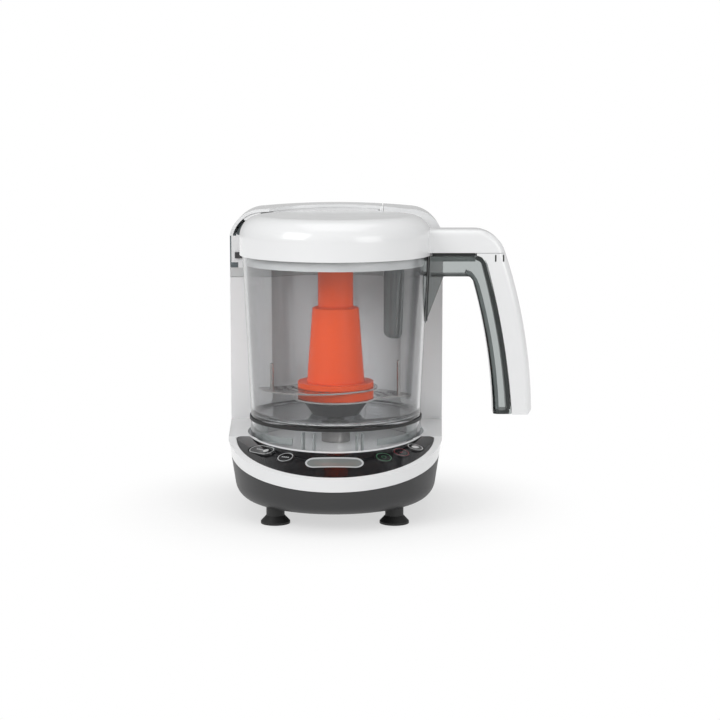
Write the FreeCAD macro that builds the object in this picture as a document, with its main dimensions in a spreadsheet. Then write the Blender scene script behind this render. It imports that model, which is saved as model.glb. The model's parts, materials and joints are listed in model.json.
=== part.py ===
"""Baby food maker: a steamer and blender bowl on a motor base with a water tank tower behind it.

Everything is drawn about the bowl's axis, with the worktop at height 0, the front towards -Y and
the handle towards +X. The last step moves the pieces so that the origin is under the middle of
the whole appliance. Lengths are millimetres.
"""
import FreeCAD, Part
import math
import os
import Sketcher
from FreeCAD import Placement, Rotation, Vector

doc = FreeCAD.newDocument("BabyFoodMaker")
sheet = doc.addObject("Spreadsheet::Sheet", "Sizes")
X_AXIS = Vector(1, 0, 0)
Y_AXIS = Vector(0, 1, 0)
Z_AXIS = Vector(0, 0, 1)
ZERO = 1e-9
TOUCH = 1e-4
LOOSE = 1e-2
RADIAN = 180 / math.pi


class Size:
    """A length with its value and the formula that gives it."""

    def __init__(self, value, formula):
        self.value = value
        self.formula = formula

    def __add__(self, other):
        other = as_size(other)
        return Size(self.value + other.value, f"({self.formula} + {other.formula})")

    def __sub__(self, other):
        other = as_size(other)
        return Size(self.value - other.value, f"({self.formula} - {other.formula})")

    def __mul__(self, other):
        other = as_size(other)
        return Size(self.value * other.value, f"({self.formula} * {other.formula})")

    def __truediv__(self, other):
        other = as_size(other)
        return Size(self.value / other.value, f"({self.formula} / {other.formula})")

    def __neg__(self):
        return Size(-self.value, f"(0 - {self.formula})")

    def root(self):
        return Size(math.sqrt(self.value), f"sqrt({self.formula})")

    def arc_tangent(self):
        return Size(math.degrees(math.atan(self.value)), f"atan({self.formula})")

    def sine(self):
        return Size(math.sin(math.radians(self.value)), f"sin({self.formula} * 1 deg)")

    def cosine(self):
        return Size(math.cos(math.radians(self.value)), f"cos({self.formula} * 1 deg)")


def as_size(number):
    if isinstance(number, Size):
        return number
    return Size(float(number), repr(float(number)))


size_names = []


def size(name, value):
    """Write one driving dimension into the sheet and give it back as a Size."""
    size_names.append(name)
    row = len(size_names)
    sheet.set(f"A{row}", name)
    sheet.set(f"B{row}", str(value))
    sheet.setAlias(f"B{row}", name)
    return Size(float(value), f"Sizes.{name}")


def bind(feature, prop, length):
    feature.setExpression(prop, as_size(length).formula)


# Sketches

def pin_point(outline, geometry, end, x, y):
    """Hold one end of a line or arc at x, y from the sketch's origin."""
    for kind, length, axis in (("DistanceX", as_size(x), -2), ("DistanceY", as_size(y), -1)):
        if abs(length.value) < ZERO:
            outline.addConstraint(Sketcher.Constraint("PointOnObject", geometry, end, axis))
            continue
        if length.value > 0:
            constraint = Sketcher.Constraint(kind, -1, 1, geometry, end, length.value)
        else:
            length = -length
            constraint = Sketcher.Constraint(kind, geometry, end, -1, 1, length.value)
        index = outline.addConstraint(constraint)
        outline.setExpression(f"Constraints[{index}]", length.formula)


def arc_between(start, end, radius, turn):
    """The arc from start to end that turns left (turn 1) or right (turn -1)."""
    chord = end - start
    middle = (start + end) * 0.5
    rise = math.sqrt(max(radius ** 2 - (chord.Length / 2) ** 2, 0.0))
    side = Vector(-chord.y, chord.x, 0).normalize()
    centre = middle + side * (rise * turn)
    first, last = (start, end) if turn > 0 else (end, start)
    low = math.atan2(first.y - centre.y, first.x - centre.x)
    high = math.atan2(last.y - centre.y, last.x - centre.x)
    if high < low:
        high += 2 * math.pi
    return Part.ArcOfCircle(Part.Circle(centre, Z_AXIS, radius), low, high)


def add_loop(outline, points):
    """Draw a closed loop. A point (x, y) starts a line, (x, y, radius, turn) starts an arc."""
    stretches = []
    for place, point in enumerate(points):
        after = points[(place + 1) % len(points)]
        start = Vector(as_size(point[0]).value, as_size(point[1]).value, 0)
        end = Vector(as_size(after[0]).value, as_size(after[1]).value, 0)
        if len(point) == 2:
            geometry = outline.addGeometry(Part.LineSegment(start, end), False)
            stretches.append((geometry, 1, 2))
            continue
        radius, turn = as_size(point[2]), point[3]
        geometry = outline.addGeometry(arc_between(start, end, radius.value, turn), False)
        stretches.append((geometry, 1, 2) if turn > 0 else (geometry, 2, 1))
        index = outline.addConstraint(Sketcher.Constraint("Radius", geometry, radius.value))
        outline.setExpression(f"Constraints[{index}]", radius.formula)
    for place, (geometry, first, last) in enumerate(stretches):
        next_geometry, next_first = stretches[(place + 1) % len(stretches)][:2]
        outline.addConstraint(Sketcher.Constraint("Coincident", geometry, last, next_geometry, next_first))
        pin_point(outline, geometry, first, points[place][0], points[place][1])


def add_circle(outline, radius, x=0, y=0):
    radius = as_size(radius)
    centre = Vector(as_size(x).value, as_size(y).value, 0)
    geometry = outline.addGeometry(Part.Circle(centre, Z_AXIS, radius.value), False)
    index = outline.addConstraint(Sketcher.Constraint("Radius", geometry, radius.value))
    outline.setExpression(f"Constraints[{index}]", radius.formula)
    pin_point(outline, geometry, 3, x, y)


def new_body(name):
    return doc.addObject("PartDesign::Body", name)


def new_sketch(body, plane="XY_Plane", height=0):
    """An empty sketch on one of the body's own planes, moved along its normal by height."""
    outline = body.newObject("Sketcher::SketchObject", body.Name + "_sketch")
    planes = [feature for feature in body.Origin.OriginFeatures if feature.Role == plane]
    outline.AttachmentSupport = [(planes[0], "")]
    outline.MapMode = "FlatFace"
    bind(outline, "AttachmentOffset.Base.z", height)
    return outline


# Solid features

def pad(body, outline, length, symmetric=False):
    feature = body.newObject("PartDesign::Pad", body.Name + "_pad")
    feature.Profile = outline
    if symmetric:
        feature.SideType = "Symmetric"
    bind(feature, "Length", length)
    doc.recompute([body])
    return feature


def pocket(body, outline, length):
    feature = body.newObject("PartDesign::Pocket", body.Name + "_pocket")
    feature.Profile = outline
    bind(feature, "Length", length)
    doc.recompute([body])
    return feature


def revolve(body, outline):
    feature = body.newObject("PartDesign::Revolution", body.Name + "_turn")
    feature.Profile = outline
    feature.ReferenceAxis = (outline, ["V_Axis"])
    doc.recompute([body])
    return feature


def fillet(body, radius, chosen):
    """Round the edges of the body's last feature for which chosen(edge) is true."""
    base = body.Tip
    names = [f"Edge{place + 1}" for place, edge in enumerate(base.Shape.Edges) if chosen(edge)]
    feature = body.newObject("PartDesign::Fillet", body.Name + "_round")
    feature.Base = (base, names)
    bind(feature, "Radius", radius)
    doc.recompute([body])
    return feature


def at_height(level):
    """Chooses the edges that lie wholly at one height."""
    height = as_size(level).value
    return lambda edge: abs(edge.BoundBox.ZMin - height) < TOUCH and edge.BoundBox.ZLength < TOUCH


def ring_at(radius, level):
    """Chooses the round edge about the Z axis with this radius and height."""
    reach, height = as_size(radius).value, as_size(level).value

    def chosen(edge):
        extent = edge.BoundBox
        flat = abs(extent.ZMin - height) < TOUCH and extent.ZLength < TOUCH
        return flat and abs(extent.XMax - reach) < LOOSE and abs(extent.XMin + reach) < LOOSE
    return chosen


def turned(name, points, rounds=()):
    """A body of revolution about the Z axis: points are (radius, height)."""
    body = new_body(name)
    outline = new_sketch(body, "XZ_Plane")
    add_loop(outline, points)
    revolve(body, outline)
    for radius, chosen in rounds:
        fillet(body, radius, chosen)
    return body


def slab(name, points, low, high):
    """A plan outline raised from one height to another."""
    body = new_body(name)
    outline = new_sketch(body, "XY_Plane", low)
    add_loop(outline, points)
    pad(body, outline, as_size(high) - low)
    return body


def profile(name, points, width, plane="XZ_Plane"):
    """A side outline given a width to both sides of its plane."""
    body = new_body(name)
    outline = new_sketch(body, plane)
    add_loop(outline, points)
    pad(body, outline, width, symmetric=True)
    return body


def box(name, low, high):
    feature = doc.addObject("Part::Box", name)
    for prop, axis, first, last in zip(("Length", "Width", "Height"), "xyz", low, high):
        bind(feature, prop, as_size(last) - first)
        bind(feature, f"Placement.Base.{axis}", first)
    return feature


def cylinder(name, radius, low, high, x=0, y=0):
    feature = doc.addObject("Part::Cylinder", name)
    bind(feature, "Radius", radius)
    bind(feature, "Height", as_size(high) - low)
    for axis, place in zip("xyz", (x, y, low)):
        bind(feature, f"Placement.Base.{axis}", place)
    return feature


def rod(name, radius, low, high, y, z):
    """A cylinder along X."""
    feature = doc.addObject("Part::Cylinder", name)
    feature.Placement = Placement(Vector(), Rotation(Y_AXIS, 90))
    bind(feature, "Radius", radius)
    bind(feature, "Height", as_size(high) - low)
    for axis, place in zip("xyz", (low, y, z)):
        bind(feature, f"Placement.Base.{axis}", place)
    return feature


def common(name, *shapes):
    feature = doc.addObject("Part::MultiCommon", name)
    feature.Shapes = list(shapes)
    return feature


def fuse(name, *shapes):
    feature = doc.addObject("Part::MultiFuse", name)
    feature.Shapes = list(shapes)
    return feature


def cut(name, base, *tools):
    for place, tool in enumerate(tools):
        feature = doc.addObject("Part::Cut", f"{name}_cut{place}")
        feature.Base = base
        feature.Tool = tool
        base = feature
    return base


subparts = []


def keep(feature, label):
    """Make a finished solid one of the appliance's named pieces."""
    feature.Label = label
    subparts.append(feature)


# Shared sizes of the base and the tower

front_radius = size("front_radius", 80.5)
front_reach = size("front_reach", 104.0)
back_reach = size("back_reach", 104.0)
side_lean = size("side_lean", 2.4)
corner_radius = size("corner_radius", 34.0)
wall = size("wall", 2.5)
seam = size("seam", 0.3)
pan_bottom = size("pan_bottom", 12.0)
pan_draft = size("pan_draft", 7.0)
pan_round = size("pan_round", 15.0)
deck_height = size("deck_height", 58.5)
well_radius = size("well_radius", 67.5)
well_depth = size("well_depth", 8.0)
tower_front = size("tower_front", 52.0)
tower_height = size("tower_height", 227.5)
roof_radius = size("roof_radius", 26.0)
roof_crown = size("roof_crown", 2.6)
recess_radius = size("recess_radius", 74.0)
head_height = size("head_height", 56.0)
tray_height = size("tray_height", 7.2)
tank_wall_height = size("tank_wall_height", 24.5)
tank_width_split = size("tank_width_split", 37.0)
column_height = tower_height - head_height
front_middle = front_radius - front_reach
corner_y = back_reach - corner_radius
corner_x = ((front_radius - corner_radius + (corner_y - front_middle) * side_lean.sine())
            / side_lean.cosine())
half_width = corner_x + corner_radius
well_floor = deck_height - well_depth
pan_floor = pan_bottom + wall
tray_bottom = column_height + seam
tray_top = tray_bottom + tray_height
tank_bottom = tray_top + seam
tank_top = tank_bottom + tank_wall_height
cover_low = tank_top + seam
beyond = size("beyond", 20.0)
far_front = -(front_reach + beyond)
far_back = back_reach + beyond
far_side = half_width + beyond
far_top = tower_height + beyond


def plan_outline(inset):
    """The base seen from above: a round front, sides that spread a little and rounded back corners."""
    front = front_radius - inset
    corner = corner_radius - inset
    front_x = front * side_lean.cosine()
    front_y = front_middle - front * side_lean.sine()
    side_x = corner_x + corner * side_lean.cosine()
    side_y = corner_y - corner * side_lean.sine()
    back = back_reach - inset
    return [(-front_x, front_y, front, 1), (0, front_middle - front, front, 1), (front_x, front_y),
            (side_x, side_y, corner, 1), (corner_x, back), (-corner_x, back, corner, 1),
            (-side_x, side_y)]


def drafted_form(name, low, low_inset, high, high_inset):
    """The base's form, whose sides lean out from its foot to its deck."""
    body = new_body(name)
    foot = new_sketch(body, "XY_Plane", low)
    add_loop(foot, plan_outline(low_inset))
    feature = pad(body, foot, as_size(high) - low)
    bind(feature, "TaperAngle", ((as_size(low_inset) - high_inset) / (as_size(high) - low)).arc_tangent())
    doc.recompute([body])
    return body


def tower_form(name, inset):
    """Plan and rounded roof of the tower, still without its front."""
    plan = slab(name + "_plan", plan_outline(inset), well_floor, tower_height)
    side = half_width - inset
    top = tower_height - inset
    corner = roof_radius - inset
    crown_half = side - corner
    eaves = top - roof_crown
    crown_bow = (crown_half * crown_half + roof_crown * roof_crown) / (roof_crown * 2)
    roof = profile(name + "_roof",
                   [(-side, 0), (side, 0), (side, eaves - corner, corner, 1),
                    (crown_half, eaves, crown_bow, 1), (-crown_half, eaves, corner, 1),
                    (-side, eaves - corner)],
                   far_back * 2)
    return common(name, plan, roof)


def front_clear(name, face, radius, low):
    """What the bowl's recess and the open space in front of the tower take away."""
    recess = cylinder(name + "_recess", radius, low, far_top)
    ahead = box(name + "_ahead", (-far_side, far_front, low), (far_side, face, far_top))
    return fuse(name, recess, ahead)


outer_front = front_clear("outer_front", tower_front, recess_radius, deck_height)
inner_front = front_clear("inner_front", tower_front + wall, recess_radius + wall, well_floor - wall)
tower_outside = tower_form("tower_outside", 0)
tower_inside = tower_form("tower_inside", wall)
tower_block = cut("tower_block", tower_outside, outer_front)
tower_hollow = cut("tower_hollow", tower_inside, inner_front)


def storey(name, shape, low, high, left=None, right=None, front=None):
    """The part of a shape between two heights, and between two sides where they are given."""
    left = -far_side if left is None else left
    right = far_side if right is None else right
    front = far_front if front is None else front
    window = box(name + "_window", (left, front, low), (right, far_back, high))
    return common(name, shape, window)


# Control panel surface

panel_inner = size("panel_inner", 69.5)
panel_outer = size("panel_outer", 74.5)
panel_end = size("panel_end", 25.0)
panel_top_height = size("panel_top_height", 54.0)
panel_low_height = size("panel_low_height", 42.0)
panel_thickness = size("panel_thickness", 2.0)
panel_end_round = size("panel_end_round", 4.0)
END_MARGIN = 0.2
FRONT_MARGIN = 0.1


def ring_point(radius, centre_y, y, z):
    """The point on the right of a circle about (0, centre_y) at this y and height."""
    return Vector(math.sqrt(radius ** 2 - (y - centre_y) ** 2), y, z)


def mirror_arc(end, front):
    return Part.Arc(Vector(-end.x, end.y, end.z), front, end).toShape()


def panel_face():
    """The sloping face of the control panel, ruled between two tilted arcs.

    It reaches past the panel on all sides along its own slope, so that it can cut the base.
    """
    end_y = -panel_end.value
    inner_end = ring_point(panel_inner.value, 0, end_y, deck_height.value)
    outer_end = ring_point(panel_outer.value, front_middle.value, end_y, deck_height.value)
    inner_front_point = Vector(0, -panel_inner.value, panel_top_height.value)
    outer_front_point = Vector(0, front_middle.value - panel_outer.value, panel_low_height.value)
    past_end = outer_end + (outer_end - inner_end)
    past_front = outer_front_point + (outer_front_point - inner_front_point)
    short_end = inner_end - (outer_end - inner_end) * END_MARGIN
    short_front = inner_front_point - (outer_front_point - inner_front_point) * FRONT_MARGIN
    return Part.makeRuledSurface(mirror_arc(short_end, short_front), mirror_arc(past_end, past_front))


def panel_layer(name, low, high):
    """A layer over or under the panel's face, from low to high above it."""
    face = panel_face()
    face.translate(Vector(0, 0, as_size(low).value))
    feature = doc.addObject("Part::Feature", name)
    feature.Shape = face.extrude(Vector(0, 0, as_size(high).value - as_size(low).value))
    return feature


panel_relief = panel_layer("panel_relief", 0, deck_height)


# Base pan and main housing

parting_front = size("parting_front", 25.8)
parting_knee = size("parting_knee", 53.0)
parting_knee_back = size("parting_knee_back", 1.0)
shaft_radius = size("shaft_radius", 4.0)
running_gap = size("running_gap", 0.05)
steam_pipe_x = size("steam_pipe_x", 52.0)
steam_pipe_back = size("steam_pipe_back", 34.0)
steam_pipe_radius = size("steam_pipe_radius", 4.5)
pipe_gap = size("pipe_gap", 0.4)
steam_pipe_y = back_reach - steam_pipe_back


def below_parting(name, rise):
    """All that lies under the line where the pan meets the housing, which climbs to the back."""
    return profile(name,
                   [(far_front, 0), (far_back, 0), (far_back, parting_knee + rise),
                    (parting_knee_back, parting_knee + rise), (far_front, parting_front + rise)],
                   far_side * 2, "YZ_Plane")


base_form = drafted_form("base_form", pan_bottom, pan_draft, deck_height, 0)
fillet(base_form, pan_round, at_height(pan_bottom))
base_cavity = drafted_form("base_cavity", pan_floor, pan_draft + wall * 2, deck_height - wall, wall)
fillet(base_cavity, pan_round - wall, at_height(pan_floor))
well_block = cylinder("well_block", well_radius + wall, well_floor - wall, deck_height)
panel_bed = panel_layer("panel_bed", -(panel_thickness + wall), deck_height)
base_room = cut("base_room", base_cavity, panel_bed)
base_shell = cut("base_shell", base_form, base_room)

gland_height = size("gland_height", 36.0)
gland_side = size("gland_side", 46.0)
gland_neck = size("gland_neck", 5.0)
gland_flange = size("gland_flange", 7.5)
gland_bore = size("gland_bore", 3.2)
gland_reach = size("gland_reach", 2.0)
fit_gap = size("fit_gap", 0.02)


def along_back(name, radius, low, high):
    """A cylinder along Y at the cord gland's place in the back wall."""
    feature = doc.addObject("Part::Cylinder", name)
    feature.Placement = Placement(Vector(), Rotation(X_AXIS, -90))
    bind(feature, "Radius", radius)
    bind(feature, "Height", as_size(high) - low)
    for axis, place in zip("xyz", (-gland_side, low, gland_height)):
        bind(feature, f"Placement.Base.{axis}", place)
    return feature


wall_slope = pan_draft / (deck_height - pan_bottom)
gland_face = back_reach - (deck_height - gland_height) * wall_slope
gland_hole = along_back("gland_hole", gland_neck + fit_gap, gland_face - wall * 4, far_back)
pan_block = common("pan_block", base_shell, below_parting("pan_limit", 0))

board_post = size("board_post", 3.0)
board_post_height = size("board_post_height", 8.0)
board_half = size("board_half", 30.0)
board_depth = size("board_depth", 26.0)
board_back = size("board_back", 40.0)
board_thickness = size("board_thickness", 1.6)
board_top_of_post = pan_floor + board_post_height
pan_middle = pan_bottom + wall / 2
post_x = board_half - board_post * 2
post_rows = [-(board_back + board_post), -(board_back + board_depth - board_post)]
posts = [cylinder(f"board_post_{side}_{row}", board_post, pan_middle, board_top_of_post, post_x * side, y)
         for side in (-1, 1) for row, y in enumerate(post_rows)]

foot_x = size("foot_x", 44.0)
foot_front = size("foot_front", 60.0)
foot_back_inset = size("foot_back_inset", 34.0)
foot_stem = size("foot_stem", 6.8)
foot_cup = size("foot_cup", 10.9)
foot_cup_height = size("foot_cup_height", 6.0)
foot_lip = size("foot_lip", 1.6)
foot_plug = size("foot_plug", 4.0)
foot_sink = size("foot_sink", 1.6)
foot_back = back_reach - foot_back_inset
foot_top = pan_bottom + foot_sink
foot_places = {"foot_front_left": (-foot_x, -foot_front), "foot_front_right": (foot_x, -foot_front),
               "foot_back_left": (-foot_x, foot_back), "foot_back_right": (foot_x, foot_back)}
foot_holes = [cylinder(f"{label}_hole", foot_plug + fit_gap, 0, pan_floor + wall, x, y)
              for label, (x, y) in foot_places.items()]
foot_seats = [cylinder(f"{label}_seat", foot_stem + fit_gap, 0, foot_top, x, y)
              for label, (x, y) in foot_places.items()]

screw_radius = size("screw_radius", 1.7)
screw_head = size("screw_head", 3.2)
screw_head_height = size("screw_head_height", 1.8)
screw_length = size("screw_length", 14.0)
screw_x = size("screw_x", 52.0)
screw_y = size("screw_y", 28.0)
screw_places = [(-screw_x, -screw_y), (screw_x, -screw_y), (-screw_x, screw_y), (screw_x, screw_y)]
screw_tip = pan_bottom + screw_length
screw_boss = size("screw_boss", 4.0)
screw_boss_gap = size("screw_boss_gap", 4.0)


def at_screws(name, radius, low, high):
    """The same cylinder at the place of every screw."""
    return [cylinder(f"{name}_{place}", radius, low, high, x, y)
            for place, (x, y) in enumerate(screw_places)]


screw_sinks = at_screws("screw_sink", screw_head + fit_gap, 0, pan_bottom + screw_head_height)
screw_holes = at_screws("screw_hole", screw_radius + fit_gap, 0, screw_tip + seam)
pan_bosses = at_screws("pan_boss", screw_boss, pan_middle, screw_tip - screw_boss_gap)

pan_solid = fuse("pan_solid", pan_block, *posts, *pan_bosses)
pan = cut("pan", pan_solid, gland_hole, *foot_holes, *foot_seats, *screw_sinks, *screw_holes)
keep(pan, "base_pan")

housing_tower = storey("housing_tower", tower_block, deck_height - wall, column_height)
housing_room = storey("housing_room", tower_hollow, well_floor - wall, column_height - wall)
housing_bosses = at_screws("housing_boss", screw_boss, screw_tip - screw_boss_gap + seam,
                           well_floor - wall / 2)
housing_top = cut("housing_top", base_shell, below_parting("housing_limit", seam))
housing_mass = fuse("housing_mass", housing_top, well_block, housing_tower, *housing_bosses)
well = cylinder("well", well_radius, well_floor, deck_height + wall)
shaft_hole = cylinder("shaft_hole", shaft_radius + running_gap, 0, deck_height)
pipe_hole = cylinder("pipe_hole", steam_pipe_radius + pipe_gap, column_height - wall * 2,
                     tray_bottom + wall * 2, steam_pipe_x, steam_pipe_y)


# Control panel, display and keys

key_radius = size("key_radius", 6.4)
key_length = size("key_length", 5.0)
key_proud = size("key_proud", 0.7)
key_gap = size("key_gap", 0.3)
key_round = size("key_round", 0.6)
wide_key_half = size("wide_key_half", 5.2)
display_half = size("display_half", 14.8)
display_radius = size("display_radius", 5.2)
display_ring = size("display_ring", 80.0)
bezel_width = size("bezel_width", 1.3)
glass_drop = size("glass_drop", 0.6)
key_places = {"key_mode": (size("key_mode_angle", -44.0), size("key_mode_ring", 77.6)),
              "key_steam": (size("key_steam_angle", -26.9), size("key_steam_ring", 79.5)),
              "key_start": (size("key_start_angle", 26.9), size("key_start_ring", 79.5)),
              "key_cancel": (size("key_cancel_angle", 38.8), size("key_cancel_ring", 78.2)),
              "key_blend": (size("key_blend_angle", 50.2), size("key_blend_ring", 77.6))}


def panel_height(angle, radius):
    """How high the panel's face is at this angle from the front and this distance from the axis."""
    ray = Vector(math.sin(angle), -math.cos(angle), 0)
    upright = Part.makeLine(ray * radius, ray * radius + Z_AXIS * far_top.value)
    return panel_face().section(upright).Vertexes[0].Point.z


def on_panel(angle_size, radius):
    """The place of a piece that stands square on the panel, its X along the panel's length."""
    angle = math.radians(angle_size.value)
    step = 1.0
    ray = Vector(math.sin(angle), -math.cos(angle), 0)
    here = ray * radius.value + Z_AXIS * panel_height(angle, radius.value)
    outer = ray * (radius.value + step) + Z_AXIS * panel_height(angle, radius.value + step)
    down_slope = (outer - here).normalize()
    along = Vector(math.cos(angle), math.sin(angle), 0)
    normal = along.cross(down_slope * -1).normalize()
    return Placement(here, Rotation(along, down_slope * -1, normal, "XYZ"))


def stadium(half, radius):
    """A straight-sided outline with round ends."""
    return [(-half, -radius), (half, -radius, radius, 1), (half + radius, 0, radius, 1), (half, radius),
            (-half, radius, radius, 1), (-half - radius, 0, radius, 1)]


def key_block(name, half, radius, low, high):
    """A round block, or a stadium where half is given, drawn flat about its own middle."""
    body = new_body(name)
    outline = new_sketch(body, "XY_Plane", low)
    if half is None:
        add_circle(outline, radius)
    else:
        add_loop(outline, stadium(half, radius))
    pad(body, outline, as_size(high) - low)
    return body


def panel_block(name, place, half, radius, low, high):
    """A key block that stands at its place on the panel."""
    body = key_block(name, half, radius, low, high)
    body.Placement = on_panel(*place)
    return body


panel_holes = []
for label, place in key_places.items():
    half = wide_key_half if label == "key_mode" else None
    key = key_block(label, half, key_radius, key_proud - key_length, key_proud)
    fillet(key, key_round, at_height(key_proud))
    key.Placement = on_panel(*place)
    keep(key, label)
    panel_holes.append(panel_block(f"{label}_hole", place, half, key_radius + key_gap,
                                   -key_length * 2, key_length))

display_place = (as_size(0), display_ring)
bezel_reach = display_radius + bezel_width
bezel_hole = panel_block("bezel_hole", display_place, display_half, bezel_reach, -key_length, key_length)
bezel_outline = panel_block("bezel_outline", display_place, display_half, bezel_reach - fit_gap,
                            -key_length, key_length)
glass_hole = panel_block("glass_hole", display_place, display_half, display_radius, -key_length, key_length)
glass_outline = panel_block("glass_outline", display_place, display_half, display_radius - fit_gap,
                            -key_length, key_length)
panel_skin = panel_layer("panel_skin", -panel_thickness, 0)
panel_glass = panel_layer("panel_glass", -panel_thickness, -glass_drop)


def panel_band(name, gap):
    """The panel's long bowed outline seen from above, grown by gap."""
    body = new_body(name)
    outline = new_sketch(body, "XY_Plane")
    inner = panel_inner - gap
    outer = panel_outer + gap
    back = panel_end - gap
    inner_x = (inner * inner - back * back).root()
    lean = back + front_middle
    outer_x = (outer * outer - lean * lean).root()
    outer_tip = front_middle - outer
    add_loop(outline, [(-outer_x, -back, outer, 1), (0, outer_tip, outer, 1), (outer_x, -back),
                       (inner_x, -back, inner, -1), (0, -inner, inner, -1), (-inner_x, -back)])
    pad(body, outline, deck_height + wall)

    def outer_corner(edge):
        extent = edge.BoundBox
        at_end = abs(extent.YMin + back.value) < LOOSE and extent.ZLength > LOOSE
        return at_end and abs(extent.XMin) > inner_x.value + LOOSE
    fillet(body, panel_end_round, outer_corner)
    return body


panel_plate = common("panel_plate", panel_skin, panel_band("panel_edge", 0))
panel = cut("panel", panel_plate, bezel_hole, *panel_holes)
keep(panel, "control_panel")
bezel = cut("bezel", common("bezel_plate", panel_skin, bezel_outline), glass_hole)
keep(bezel, "display_bezel")
keep(common("display_glass", panel_glass, glass_outline), "display_window")

panel_seat = common("panel_seat", panel_layer("panel_seat_layer", -panel_thickness, deck_height),
                    panel_band("panel_seat_edge", seam))
housing = cut("housing", housing_mass, housing_room, well, shaft_hole, pipe_hole, panel_relief, panel_seat,
              *panel_holes, *screw_holes)
keep(housing, "main_housing")


# Feet and fasteners under the pan

def foot_points():
    """Half of a suction foot: a soft cup, a stem and a plug that snaps into the pan."""
    plug_top = pan_floor
    return [(0, foot_lip), (foot_stem - foot_lip, foot_lip), (foot_cup - foot_lip, 0), (foot_cup, 0),
            (foot_cup, foot_lip), (foot_stem, foot_cup_height), (foot_stem, foot_top - fit_gap),
            (foot_plug, foot_top - fit_gap), (foot_plug, plug_top), (0, plug_top)]


for label, (foot_side, foot_depth) in foot_places.items():
    foot = turned(label + "_form", foot_points())
    bind(foot, "Placement.Base.x", foot_side)
    bind(foot, "Placement.Base.y", foot_depth)
    keep(foot, label)


def screw(name, x, y):
    """A flat-headed screw driven up through the pan into a boss of the housing."""
    head = cylinder(name + "_head", screw_head, pan_bottom, pan_bottom + screw_head_height - seam, x, y)
    shank = cylinder(name + "_shank", screw_radius, pan_bottom, screw_tip, x, y)
    return fuse(name, head, shank)


screws = [screw(f"screw_{place}", x, y) for place, (x, y) in enumerate(screw_places)]
keep(fuse("screws", *screws), "pan_screws")

gland_ring = along_back("gland_ring", gland_flange, gland_face + seam, gland_face + gland_reach)
gland_tube = along_back("gland_tube", gland_neck, gland_face - wall * 2, gland_face + gland_reach)
gland_opening = along_back("gland_opening", gland_bore, gland_face - wall * 3, far_back)
gland_wall = drafted_form("gland_wall", pan_bottom, pan_draft, deck_height, 0)
gland_lip = cut("gland_lip", gland_ring, gland_wall)
keep(cut("gland", fuse("gland_solid", gland_lip, gland_tube), gland_opening), "cord_gland")


# Motor, boiler and control board inside the base

motor_radius = size("motor_radius", 30.0)
motor_length = size("motor_length", 31.0)
motor_plate = size("motor_plate", 3.0)
motor_waist = size("motor_waist", 26.0)
motor_top = well_floor - wall - seam
motor_low = motor_top - motor_length
motor_bore = shaft_radius + running_gap
keep(turned("motor_form",
            [(motor_bore, motor_low), (motor_waist, motor_low), (motor_waist, motor_low + motor_plate),
             (motor_radius, motor_low + motor_plate * 2), (motor_radius, motor_top),
             (motor_bore, motor_top)]),
     "motor")

board_low = board_top_of_post + seam
keep(box("board", (-board_half, -(board_back + board_depth), board_low),
         (board_half, -board_back, board_low + board_thickness)), "control_board")

boiler_radius = size("boiler_radius", 13.0)
boiler_x = size("boiler_x", 46.0)
boiler_back = size("boiler_back", 38.0)
boiler_height = size("boiler_height", 32.0)
boiler_round = size("boiler_round", 1.2)
boiler_y = back_reach - boiler_back
boiler_low = pan_floor + seam
boiler_top = boiler_low + boiler_height
boiler = turned("boiler_form", [(0, boiler_low), (boiler_radius, boiler_low),
                                (boiler_radius, boiler_top), (0, boiler_top)],
                [(boiler_round, ring_at(boiler_radius, boiler_top))])
bind(boiler, "Placement.Base.x", boiler_x)
bind(boiler, "Placement.Base.y", boiler_y)
keep(boiler, "boiler")

pipe_wall = size("pipe_wall", 1.0)
pipe_rise = size("pipe_rise", 26.0)
pipe_top = column_height + pipe_rise
pipe = cylinder("pipe_outside", steam_pipe_radius, boiler_top, pipe_top, steam_pipe_x, steam_pipe_y)
pipe_bore_radius = steam_pipe_radius - pipe_wall
pipe_bore = cylinder("pipe_bore", pipe_bore_radius, boiler_top, pipe_top, steam_pipe_x, steam_pipe_y)
keep(cut("pipe", pipe, pipe_bore), "steam_pipe")


# Tower top: tray, column fascia, catch and right cap

split_gap = size("split_gap", 0.4)
fascia_thickness = size("fascia_thickness", 3.0)
fascia_inset = size("fascia_inset", 5.0)
fascia_edge = size("fascia_edge", 1.2)
notch_width = size("notch_width", 6.0)
notch_height = size("notch_height", 4.2)
valve_radius = size("valve_radius", 7.0)
valve_x = size("valve_x", 30.0)
valve_back = size("valve_back", 16.0)
valve_length = size("valve_length", 5.0)
valve_y = back_reach - valve_back
tank_right = tank_width_split - split_gap
cap_left = tank_width_split + split_gap

valve_hole = cylinder("valve_hole", valve_radius + seam, tray_top - valve_length - seam, far_top,
                      -valve_x, valve_y)
tray_block = storey("tray_block", tower_block, tray_bottom, tray_top, right=tank_right)
keep(cut("tray", tray_block, valve_hole), "tank_tray")

fascia_form = tower_form("fascia_form", fascia_edge)
fascia_arch = tower_form("fascia_arch", fascia_inset)
fascia_low = storey("fascia_low", fascia_form, tray_top, cover_low)
fascia_high = storey("fascia_high", fascia_arch, tray_top, tower_height)
fascia_plate = box("fascia_plate", (-far_side, tower_front, tray_top),
                   (0, tower_front + fascia_thickness, far_top))
fascia_recess = cylinder("fascia_recess", recess_radius, tray_top, far_top)
notch_right = -half_width + fascia_edge + notch_width
fascia_notch = box("fascia_notch", (-far_side, tower_front - wall, tray_top),
                   (notch_right, tower_front + wall * 2, tray_top + notch_height))
fascia_solid = common("fascia_solid", fuse("fascia_outline", fascia_low, fascia_high), fascia_plate)
keep(cut("fascia", fascia_solid, fascia_recess, fascia_notch), "column_fascia")

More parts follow.
